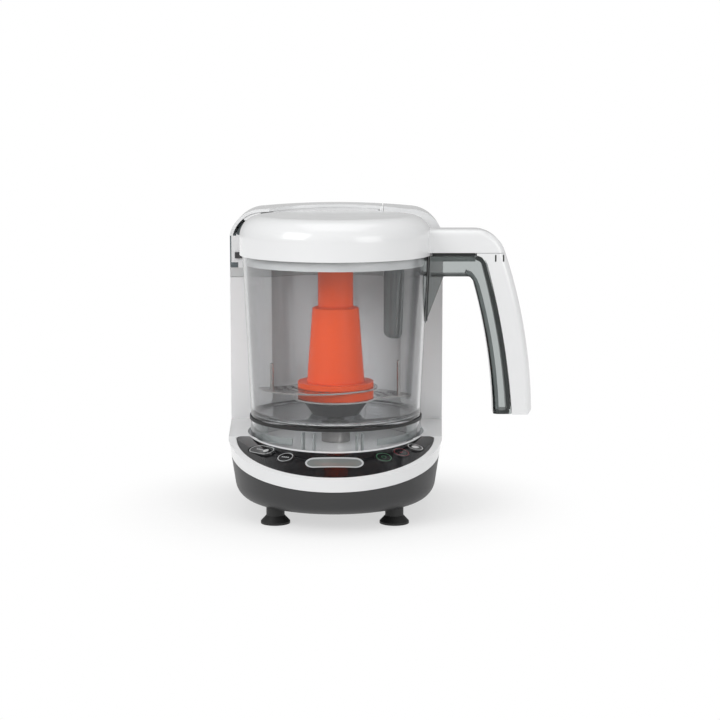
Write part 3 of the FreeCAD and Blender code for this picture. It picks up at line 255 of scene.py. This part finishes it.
# %% Smoky finishes
EDGE_BLEND = 0.3
SMOKY_GLOSS = (0.02, 0.05)
SMOKY_INDEX = 1.38
TANK_INDEX = 1.46
TANK_CLEARNESS = 0.5


def lay_over(tree, shader, mask, colour):
    """Lay a colour over whatever feeds the shader's colour, where the mask says so."""
    below = shader.inputs["Base Color"].links[0].from_socket
    mix = tree.nodes.new("ShaderNodeMix")
    mix.data_type = "RGBA"
    mix.inputs["B"].default_value = with_alpha(colour)
    tree.links.new(mask, mix.inputs["Factor"])
    tree.links.new(below, mix.inputs["A"])
    tree.links.new(mix.outputs["Result"], shader.inputs["Base Color"])


def smoky(name, light, dark, edge):
    """See-through plastic: its tint deepens where a wall is seen edge on, and lamps shine through it."""
    material = finish(name, light, dark, SMOKY_GLOSS, Transmission_Weight=1.0, IOR=SMOKY_INDEX)
    tree = material.node_tree
    shader = tree.nodes["Principled BSDF"]
    facing = tree.nodes.new("ShaderNodeLayerWeight")
    facing.inputs["Blend"].default_value = EDGE_BLEND
    lay_over(tree, shader, facing.outputs["Facing"], edge)
    tinted_light = tree.nodes.new("ShaderNodeBsdfTransparent")
    tinted_light.inputs["Color"].default_value = with_alpha(light)
    rays = tree.nodes.new("ShaderNodeLightPath")
    pick = tree.nodes.new("ShaderNodeMixShader")
    tree.links.new(rays.outputs["Is Shadow Ray"], pick.inputs["Fac"])
    tree.links.new(shader.outputs[0], pick.inputs[1])
    tree.links.new(tinted_light.outputs[0], pick.inputs[2])
    tree.links.new(pick.outputs[0], tree.nodes["Material Output"].inputs["Surface"])
    return material


smoky_clear = smoky("smoky clear plastic", (0.94, 0.945, 0.95), (0.91, 0.915, 0.92), (0.12, 0.125, 0.13))
smoky_deep = smoky("deep smoky plastic", (0.46, 0.49, 0.485), (0.38, 0.41, 0.405), (0.07, 0.08, 0.08))
tank_smoky = finish("smoky tank plastic", (0.3, 0.36, 0.38), (0.22, 0.27, 0.29), (0.08, 0.16),
                    Transmission_Weight=TANK_CLEARNESS, IOR=TANK_INDEX)
print("smoky finishes:", names_of(smoky_clear, smoky_deep, tank_smoky))

# %% [markdown]
# ## Dressing the solids
#
# Each solid takes one finish. The list goes by finish, so that pieces moulded from the same stuff stand
# together. The keys, the handle's shell and the fascia are left for later, because something is printed
# on them.

# %% Dress the solids
FINISH_OF = {
    white_gloss: ["main_housing", "tower_cap", "tank_cover", "lid"],
    pan_grey: ["base_pan"],
    panel_black: ["control_panel", "interlock_catch"],
    bezel_silver: ["display_bezel"],
    display_glass: ["display_window"],
    smoky_clear: ["bowl"],
    smoky_deep: ["handle_grip", "steam_channel"],
    tank_smoky: ["water_tank"],
    liner_pale: ["lid_liner", "tank_tray"],
    hub_orange: ["blade_hub"],
    steel_sheet: ["upper_blade", "lower_blade", "upper_blade_pin", "lower_blade_pin", "blade_spindle",
                  "cover_hinge_pin", "pan_screws", "drive_coupler"],
    dark_moulded: ["drive_boss", "tank_valve"],
    black_rubber: ["foot_front_left", "foot_front_right", "foot_back_left", "foot_back_right",
                   "bowl_foot_ring", "lid_seal", "cord_gland"],
    motor_grey: ["motor"],
    boiler_alloy: ["boiler", "steam_pipe"],
    board_green: ["control_board"],
}


def dress(piece, material):
    piece.data.materials.clear()
    piece.data.materials.append(material)


for material, labels in FINISH_OF.items():
    for label in labels:
        dress(NODES[label], material)
print("dressed pieces:", sum(len(labels) for labels in FINISH_OF.values()))

# %% [markdown]
# ## Printed key marks
#
# The keys are black like the panel, and a thin printed line runs round each of them with a small mark
# inside. A print has no height, so it belongs in the material. A group measures how far a point lies
# from the key's middle line, which is a short stretch for the wide key and a point for the round ones,
# and marks the points that lie one radius away.

# %% Maths helpers
VALUE_OPERATIONS = ("DOT_PRODUCT", "LENGTH")


def math_node(tree, operation, first, second=None):
    """A Math node whose inputs are sockets or plain numbers."""
    node = tree.nodes.new("ShaderNodeMath")
    node.operation = operation
    for socket, value in zip(node.inputs, (first, second)):
        if value is None:
            continue
        if isinstance(value, (int, float)):
            socket.default_value = value
        else:
            tree.links.new(value, socket)
    return node.outputs[0]


def vector_node(tree, operation, first, second=None, scale=None):
    """A Vector Math node whose inputs are sockets."""
    node = tree.nodes.new("ShaderNodeVectorMath")
    node.operation = operation
    tree.links.new(first, node.inputs[0])
    if second is not None:
        tree.links.new(second, node.inputs[1])
    if scale is not None:
        tree.links.new(scale, node.inputs["Scale"])
    return node.outputs["Value"] if operation in VALUE_OPERATIONS else node.outputs[0]


print("operations that give one number:", VALUE_OPERATIONS)

# %% Print group
PRINT_RADIUS = 5.0 * MILLIMETRE
PRINT_WIDTH = 0.6 * MILLIMETRE

print_group, start, end = new_group(
    "outline print",
    [("Centre", VECTOR, (0, 0, 0)), ("Normal", VECTOR, (0, 0, 1)), ("Along", VECTOR, (1, 0, 0)),
     ("Half", FLOAT, 0.0), ("Radius", FLOAT, PRINT_RADIUS), ("Width", FLOAT, PRINT_WIDTH)],
    [("Mask", FLOAT)])
place = print_group.nodes.new("ShaderNodeTexCoord")
from_centre = vector_node(print_group, "SUBTRACT", place.outputs["Object"], start.outputs["Centre"])
other_end = math_node(print_group, "MULTIPLY", start.outputs["Half"], -1.0)
reach = vector_node(print_group, "DOT_PRODUCT", from_centre, start.outputs["Along"])
reach = math_node(print_group, "MINIMUM", reach, start.outputs["Half"])
reach = math_node(print_group, "MAXIMUM", reach, other_end)
nearest = vector_node(print_group, "SCALE", start.outputs["Along"], scale=reach)
from_nearest = vector_node(print_group, "SUBTRACT", from_centre, nearest)
beside = vector_node(print_group, "CROSS_PRODUCT", from_nearest, start.outputs["Normal"])
distance = vector_node(print_group, "LENGTH", beside)
off_line = math_node(print_group, "SUBTRACT", distance, start.outputs["Radius"])
off_line = math_node(print_group, "ABSOLUTE", off_line)
half_line = math_node(print_group, "MULTIPLY", start.outputs["Width"], 0.5)
print_group.links.new(math_node(print_group, "LESS_THAN", off_line, half_line), end.inputs["Mask"])
print("group:", print_group.name)

# %% Key marks
WHITE_INK = (0.62, 0.63, 0.63)
GREEN_INK = (0.06, 0.2, 0.1)
RED_INK = (0.24, 0.03, 0.04)
# A mark is its place along the key, half length, radius and line width, in millimetres
RING_LINE = (5.5, 0.5)
BADGE_LINE = (1.1, 2.2)
DOT_LINE = (0.3, 0.6)
RING = (0.0, 0.0, *RING_LINE)
WIDE_RING = (0.0, 5.2, *RING_LINE)
MODE_BADGE = (4.4, 0.0, *BADGE_LINE)
BLEND_BADGE = (0.0, 0.8, *BADGE_LINE)
START_RING = (0.0, 0.0, 1.7, 0.4)
CANCEL_BAR = (0.0, 1.3, 0.2, 0.4)


def dots(*places):
    """A row of dots at these places along a key."""
    return [(place, 0.0, *DOT_LINE) for place in places]


KEY_MARKS = {
    "key_mode": (WHITE_INK, [WIDE_RING, MODE_BADGE, *dots(-4.6, -2.8, -1.0, 0.8)]),
    "key_steam": (WHITE_INK, [RING, *dots(-2.4, -0.8, 0.8, 2.4)]),
    "key_start": (GREEN_INK, [RING, START_RING]),
    "key_cancel": (RED_INK, [RING, CANCEL_BAR]),
    "key_blend": (WHITE_INK, [RING, BLEND_BADGE]),
}
print("marks on each key:", {label: len(marks) for label, (ink, marks) in KEY_MARKS.items()})

# %% Print the keys
UP = Vector((0, 0, 1))
push_axis = {joint["child"]: Vector(joint["axis"]) for joint in frame["joints"]}


def print_mask(tree, centre, normal, along, mark):
    """Where one printed mark lies on a surface."""
    offset, half, radius, width = (size * MILLIMETRE for size in mark)
    values = {"Centre": centre + along * offset, "Normal": normal, "Along": along,
              "Half": half, "Radius": radius, "Width": width}
    return add_group(tree, print_group, values).outputs["Mask"]


def printed(material, name, centre, normal, along, ink, marks):
    """A copy of a finish with marks printed on it."""
    copy = material.copy()
    copy.name = name
    tree = copy.node_tree
    for mark in marks:
        mask = print_mask(tree, centre, normal, along, mark)
        lay_over(tree, tree.nodes["Principled BSDF"], mask, ink)
    return copy


for label, (ink, marks) in KEY_MARKS.items():
    low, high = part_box(label)
    normal = -push_axis[f"{label}_body"].normalized()
    along = UP.cross(normal).normalized()
    key_finish = printed(panel_black, f"printed {label}", (low + high) / 2, normal, along, ink, marks)
    dress(NODES[label], key_finish)
print("printed keys:", list(KEY_MARKS))

# %% [markdown]
# ## Slots and slit
#
# Two short slots are moulded into the handle's shell, and a narrow slit at the top left of the tower's
# fascia shows the smoky tank behind it. All three are far finer than the solids they lie on, so they are
# printed with the same group as the keys. Their near black paints the shade inside the slots, and the
# tank in shade behind the slit. The print runs straight through its piece, from front to back.

# %% Slots on the handle
FRONT = Vector((0, -1, 0))
# The slots are printed near black, which paints the shade inside them
SLOT_SHADE = (0.03, 0.03, 0.03)
SLOT_PLACES = (120.55, 126.55)
SLOT_HEIGHT = 192.2
SLOT_MARK = (0.0, 2.1, 0.3, 0.6)


def at(x, y, z):
    """A point given in millimetres from the bowl's axis and the table."""
    return BOWL_AXIS + Vector((x, y, z)) * MILLIMETRE


shell_finish = white_gloss
for across in SLOT_PLACES:
    shell_finish = printed(shell_finish, "white gloss plastic with slots", at(across, 0, SLOT_HEIGHT),
                           FRONT, UP, SLOT_SHADE, [SLOT_MARK])
dress(NODES["handle_shell"], shell_finish)
print("slots on the handle:", len(SLOT_PLACES))

# %% Slit in the fascia
# The slit is printed near black, which paints the smoky tank behind it in shade
SLIT_SHADE = (0.05, 0.065, 0.07)
SLIT_PLACE = (-75.0, 0, 209.7)
SLIT_MARK = (0.0, 3.4, 1.0, 2.0)
SLIT_LEAN = Vector((0.444, 0, 0.896))
slit_finish = printed(white_gloss, "white gloss plastic with slit", at(*SLIT_PLACE), FRONT, SLIT_LEAN,
                      SLIT_SHADE, [SLIT_MARK])
dress(NODES["column_fascia"], slit_finish)
print("slit on the fascia at", SLIT_PLACE, "mm")

# %% [markdown]
# ## Painted shade strips in the handle
#
# Clear plastic is read by the dark lines inside it. Here these lines are painted shade: black sheets in
# the gap under the lid's arm and along the edges of the bowl's bracket, and dark and mid grey sheets down
# the grip behind the white shell, where the clear plastic only looks dark. Each strip starts as a plane
# merged to a single point. The point is extruded along a path, the path is swept sideways into a sheet,
# and a Solidify modifier gives the sheet its thickness. The ribs, the lip and the brim further down are
# made the same way.


# %% Sheet maker
def sheet(name, path, sweep, thickness, material, body):
    """A path of points swept along a vector, thickened, and fixed to a body."""
    bpy.ops.object.select_all(action="DESELECT")
    bpy.ops.mesh.primitive_plane_add(size=MILLIMETRE)
    piece = bpy.context.object
    piece.name = name
    bpy.ops.object.mode_set(mode="EDIT")
    bpy.ops.mesh.select_all(action="SELECT")
    bpy.ops.mesh.merge(type="CENTER")
    bpy.ops.mesh.select_all(action="SELECT")
    bpy.ops.transform.translate(value=path[0])
    for before, after in zip(path, path[1:]):
        bpy.ops.mesh.extrude_region_move(TRANSFORM_OT_translate={"value": after - before})
    bpy.ops.mesh.select_all(action="SELECT")
    bpy.ops.mesh.extrude_region_move(TRANSFORM_OT_translate={"value": Vector(sweep) * MILLIMETRE})
    bpy.ops.object.mode_set(mode="OBJECT")
    solid = piece.modifiers.new("thickness", "SOLIDIFY")
    solid.thickness = thickness * MILLIMETRE
    solid.offset = 0.0
    bpy.ops.object.modifier_apply(modifier=solid.name)
    bpy.ops.object.mode_set(mode="EDIT")
    bpy.ops.mesh.select_all(action="SELECT")
    bpy.ops.mesh.normals_make_consistent(inside=False)
    bpy.ops.object.mode_set(mode="OBJECT")
    dress(piece, material)
    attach(piece, body)
    return piece


# %% Finishes of the painted shade strips
# These finishes paint shade: black for the shadow lines, dark and mid grey for shaded bands in clear
# plastic
painted_shade_black = finish("black painted shade line", (0.012, 0.012, 0.013), (0.007, 0.007, 0.008), (0.3, 0.45),
                     depth=0.1)
painted_shade_dark = finish("dark painted shade", (0.06, 0.07, 0.07), (0.04, 0.048, 0.048), (0.25, 0.4),
                      drift=40.0, depth=0.1)
painted_shade_mid = finish("mid grey painted shade", (0.3, 0.325, 0.32), (0.22, 0.24, 0.24), (0.25, 0.4),
                     drift=40.0, depth=0.1)
print("strip finishes:", names_of(painted_shade_black, painted_shade_dark, painted_shade_mid))

# %% Curves down the grip
GRIP_BOW = 2.9
GRIP_STEPS = 12


def evenly(first, last, steps):
    """Values from first to last in equal steps, with both ends."""
    return [first + (last - first) * step / steps for step in range(steps + 1)]


def down_grip(knee, start, end):
    """Points round the handle's knee, then down the grip in a shallow curve away from the bowl."""
    (x_start, z_start), (x_end, z_end) = start, end
    points = list(knee)
    for share in evenly(0.0, 1.0, GRIP_STEPS):
        swell = 4 * GRIP_BOW * share * (1 - share)
        points.append((x_start + (x_end - x_start) * share + swell, z_start + (z_end - z_start) * share))
    return points


# Each line is the path of a sheet that paints a shaded band inside the clear grip
shadow_band_line = down_grip([(106.6, 192.0), (110.0, 190.4), (112.1, 187.6)], (113.0, 184.0), (131.6, 76.6))
core_line = down_grip([(98.8, 181.2), (102.9, 179.4), (105.8, 175.8)], (107.4, 172.0), (123.2, 76.6))
edge_line = down_grip([(98.8, 179.3), (101.9, 178.0), (104.5, 174.8)], (105.6, 171.5), (121.3, 76.6))
print("points down the grip:", len(shadow_band_line))

# %% Handle strips
# Each strip is its line of x and z, half width, thickness and finish, in millimetres
# Every strip is a sheet that paints shade: in the gap under the lid's arm, along the bracket and down the
# grip
STRIPS = {
    "arm_gap_shadow": ([(73.6, 194.8), (105.6, 194.8)], 10.5, 1.6, painted_shade_black),
    "bracket_line": ([(69.3, 143.6), (71.2, 192.6)], 4.2, 0.9, painted_shade_black),
    "bracket_shelf": ([(72.2, 178.0), (83.0, 178.0)], 4.2, 0.8, painted_shade_black),
    "grip_shadow_band": (shadow_band_line, 10.2, 3.0, painted_shade_dark),
    "grip_core": (core_line, 9.0, 2.4, painted_shade_mid),
    "grip_edge": (edge_line, 9.6, 0.7, painted_shade_dark),
    "bar_core": ([(72.4, 191.2), (105.6, 191.2)], 9.0, 3.6, painted_shade_mid),
    "grip_sole": ([(121.6, 74.7), (132.4, 74.7)], 10.2, 2.2, painted_shade_dark),
    "bar_edge": ([(72.0, 179.3), (98.6, 179.3)], 10.2, 0.8, painted_shade_dark),
}
for name, (line, half_width, thickness, material) in STRIPS.items():
    path = [at(x, -half_width, z) for x, z in line]
    sheet(name, path, (0, 2 * half_width, 0), thickness, material, "bowl_unit")
print("strips:", list(STRIPS))

# %% [markdown]
# ## Inside the bowl's skirt
#
# Below its floor the bowl has a clear skirt. The upright lines in it are taken to be ribs, and their mid
# grey paints the shade they show in the clear plastic. The skirt looks darker on either flank, and a grey
# band just inside it paints that shade. Each rib is a short line that points away from the axis, swept
# upwards. The four ribs of one quarter are repeated all round. A band is an arc just inside the skirt,
# swept the same way.

# %% Ribs
FULL_TURN = 360
RIB_ANGLES = (-22.5, -14.5, 15.5, 19.5)
RIB_SETS = 4
RIB_REACH = (58.2, 62.3)
RIB_FOOT = 52.0
RIB_HEIGHT = 15.0
RIB_THICKNESS = 1.0


def on_ring(heading, radius, height):
    """A point round the bowl's axis, with its heading measured from the front."""
    return at(math.sin(heading) * radius, -math.cos(heading) * radius, height)


# The ribs take the mid grey finish, which paints the shade they show in the clear skirt
for turn in range(RIB_SETS):
    for number, angle in enumerate(RIB_ANGLES):
        heading = math.radians(angle + turn * FULL_TURN / RIB_SETS)
        path = [on_ring(heading, radius, RIB_FOOT) for radius in RIB_REACH]
        sheet(f"skirt_rib_{turn}_{number}", path, (0, 0, RIB_HEIGHT), RIB_THICKNESS, painted_shade_mid,
              "bowl_unit")
print("skirt ribs:", RIB_SETS * len(RIB_ANGLES))

# %% Painted shade bands on the flanks
FLANK_SIDES = {"left": -1, "right": 1}
FLANK_RADIUS = 61.9
FLANK_ANGLES = (30.0, 76.0)
FLANK_STEPS = 10
FLANK_FOOT = 57.0
FLANK_HEIGHT = 5.0
FLANK_THICKNESS = 0.8
# Each band is a grey sheet that paints the shade on one flank of the skirt
for label, side in FLANK_SIDES.items():
    headings = [math.radians(angle) * side for angle in evenly(*FLANK_ANGLES, FLANK_STEPS)]
    path = [on_ring(heading, FLANK_RADIUS, FLANK_FOOT) for heading in headings]
    sheet(f"skirt_flank_shade_{label}", path, (0, 0, FLANK_HEIGHT), FLANK_THICKNESS, painted_shade_mid,
          "bowl_unit")
print("skirt bands:", list(FLANK_SIDES))

# %% [markdown]
# ## Lip and brim
#
# A thin white lip follows the arch at the tower's front left corner. The tank cover is open towards the
# lid, and a shallow brim closes the top of that opening. The lip's path is a part of a circle. The brim's
# path keeps the same distance from the bowl's axis and falls a little to both sides, as the cover does.

# %% Lip along the tower's arch
ARCH_X, ARCH_Z = -58.46, 198.9
ARCH_RADIUS = 22.25
ARCH_ANGLES = (128, 92)
ARCH_STEPS = 9
LIP_FRONT = 52.3
LIP_DEPTH = 2.4
LIP_THICKNESS = 1.9
path = []
for angle in evenly(*ARCH_ANGLES, ARCH_STEPS):
    turn = math.radians(angle)
    path.append(at(ARCH_X + math.cos(turn) * ARCH_RADIUS, LIP_FRONT, ARCH_Z + math.sin(turn) * ARCH_RADIUS))
sheet("arch_lip", path, (0, LIP_DEPTH, 0), LIP_THICKNESS, white_gloss, "base")
print("arch lip over", abs(ARCH_ANGLES[1] - ARCH_ANGLES[0]), "degrees")

# %% Brim of the tank cover
BRIM_RADIUS = 75.1
BRIM_LEFT, BRIM_RIGHT = -50.0, 33.5
BRIM_STEPS = 24
BRIM_DROP = 6.0
BRIM_THICKNESS = 1.4
CROWN_TOP = 224.9
CROWN_FALL = 2.6
CROWN_HALF = 58.5
path = []
for x in evenly(BRIM_LEFT, BRIM_RIGHT, BRIM_STEPS):
    y = math.sqrt(BRIM_RADIUS ** 2 - x ** 2)
    path.append(at(x, y, CROWN_TOP - CROWN_FALL * (x / CROWN_HALF) ** 2))
sheet("cover_brim", path, (0, 0, -BRIM_DROP), BRIM_THICKNESS, white_gloss, "cover")
print("cover brim from", BRIM_LEFT, "to", BRIM_RIGHT, "mm")

# %% [markdown]
# ## Floor
#
# The appliance stands on a plain white floor. Close to it the floor is partly a matt surface, so the
# shadow of the feet shows. Farther out it turns into plain white, as the paper sweep of a studio does.
# The white is only for rays from the camera, reflections and clear plastic, so it adds no diffuse light
# to the appliance.

# %% Floor plane
FLOOR_SIZE = 6.0
FLOOR_GAP = 0.2 * MILLIMETRE
bpy.ops.object.select_all(action="DESELECT")
bpy.ops.mesh.primitive_plane_add(size=FLOOR_SIZE, location=(BOWL_AXIS.x, middle.y, cad_low.z - FLOOR_GAP))
floor = bpy.context.object
floor.name = "floor"
floor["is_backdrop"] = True
print("floor:", FLOOR_SIZE, "m wide")

# %% Paper finish
PAPER_COLOUR = (0.88, 0.88, 0.88)
SHADOW_REACH = (0.07, 0.2)
PAPER_GLOW = 0.6
floor_finish = bpy.data.materials.new("paper floor")
floor_finish.use_nodes = True
tree = floor_finish.node_tree
tree.nodes.remove(tree.nodes["Principled BSDF"])
paper = tree.nodes.new("ShaderNodeBsdfDiffuse")
paper.inputs["Color"].default_value = with_alpha(PAPER_COLOUR)
glow = tree.nodes.new("ShaderNodeEmission")
place = tree.nodes.new("ShaderNodeTexCoord")
rays = tree.nodes.new("ShaderNodeLightPath")
fade = tree.nodes.new("ShaderNodeMapRange")
fade.interpolation_type = "SMOOTHSTEP"
fade.inputs["From Min"].default_value, fade.inputs["From Max"].default_value = SHADOW_REACH
fade.inputs["To Min"].default_value = PAPER_GLOW
tree.links.new(vector_node(tree, "LENGTH", place.outputs["Object"]), fade.inputs["Value"])
seen = math_node(tree, "ADD", rays.outputs["Is Camera Ray"], rays.outputs["Is Glossy Ray"])
seen = math_node(tree, "ADD", seen, rays.outputs["Is Transmission Ray"])
seen = math_node(tree, "MINIMUM", seen, 1.0)
share = math_node(tree, "MULTIPLY", seen, fade.outputs["Result"])
sweep = tree.nodes.new("ShaderNodeMixShader")
tree.links.new(share, sweep.inputs["Fac"])
tree.links.new(paper.outputs[0], sweep.inputs[1])
tree.links.new(glow.outputs[0], sweep.inputs[2])
tree.links.new(sweep.outputs[0], tree.nodes["Material Output"].inputs["Surface"])
floor.data.materials.append(floor_finish)
print("the floor's shadow fades between", SHADOW_REACH, "m")

# %% [markdown]
# ## World
#
# The world lights the appliance evenly from all sides, at less than full strength. To the camera, and
# through clear plastic, it is plain white instead, so the backdrop is white without more light on the
# appliance. Reflections still see the dimmer room.

# %% World
ROOM_LIGHT = 0.46
world = bpy.data.worlds.new("studio")
bpy.context.scene.world = world
world.use_nodes = True
tree = world.node_tree
room = tree.nodes["Background"]
room.inputs["Color"].default_value = with_alpha(WHITE)
room.inputs["Strength"].default_value = ROOM_LIGHT
backdrop = tree.nodes.new("ShaderNodeBackground")
backdrop.inputs["Color"].default_value = with_alpha(WHITE)
rays = tree.nodes.new("ShaderNodeLightPath")
seen = math_node(tree, "MAXIMUM", rays.outputs["Is Camera Ray"], rays.outputs["Is Transmission Ray"])
pick = tree.nodes.new("ShaderNodeMixShader")
tree.links.new(seen, pick.inputs["Fac"])
tree.links.new(room.outputs[0], pick.inputs[1])
tree.links.new(backdrop.outputs[0], pick.inputs[2])
tree.links.new(pick.outputs[0], tree.nodes["World Output"].inputs["Surface"])
print("room light:", ROOM_LIGHT)

# %% [markdown]
# ## Lamps
#
# Three soft boxes give the white shell its shape. The strongest stands at the left, so the hub and the
# tower are a little darker towards the right. All of them point at the middle of the appliance.

# %% Soft boxes
# Each box is its place, width in metres and power in watts
SOFT_BOXES = {
    "top box": ((middle.x, middle.y - 0.1, 1.3), 1.0, 3.8),
    "left box": ((-1.1, -0.9, 0.9), 0.8, 9.4),
    "right box": ((0.95, -1.15, 0.6), 0.8, 5.5),
}
for name, (place, width, power) in SOFT_BOXES.items():
    lamp = bpy.data.lights.new(name, "AREA")
    lamp.size = width
    lamp.energy = power
    holder = bpy.data.objects.new(name, lamp)
    bpy.context.scene.collection.objects.link(holder)
    holder.location = place
    holder.rotation_euler = (middle - Vector(place)).to_track_quat("-Z", "Y").to_euler()
print("soft boxes:", list(SOFT_BOXES))

# %% [markdown]
# ## Camera
#
# The photograph was taken from the front, a little above the lid, with a long lens. The camera stands
# 1.4 m in front of the bowl and looks down by about eight degrees, which brings the edges of the
# appliance close to where the photograph has them.

# %% Camera
CAMERA_PLACE = (18.6, -1400.0, 316.5)
LOOK_DOWN = 8.27
LEVEL = 90
FOCAL_LENGTH = 92.5
SENSOR_WIDTH = 36.0
lens = bpy.data.cameras.new("camera")
lens.lens = FOCAL_LENGTH
lens.sensor_width = SENSOR_WIDTH
camera = bpy.data.objects.new("camera", lens)
bpy.context.scene.collection.objects.link(camera)
camera.location = at(*CAMERA_PLACE)
camera.rotation_euler = (math.radians(LEVEL - LOOK_DOWN), 0, 0)
bpy.context.scene.camera = camera
bpy.context.scene.view_settings.view_transform = "Standard"
print("camera at", tuple(camera.location), "m")

# %% [markdown]
# ## Sizes
#
# Both boxes are printed, the box of the solids at the start and the box of the dressed model here, so
# that they can be compared. The dressed model has to stay inside the box of the solids.

# %% Sizes
low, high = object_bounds()
print("visual box", tuple(high - low))
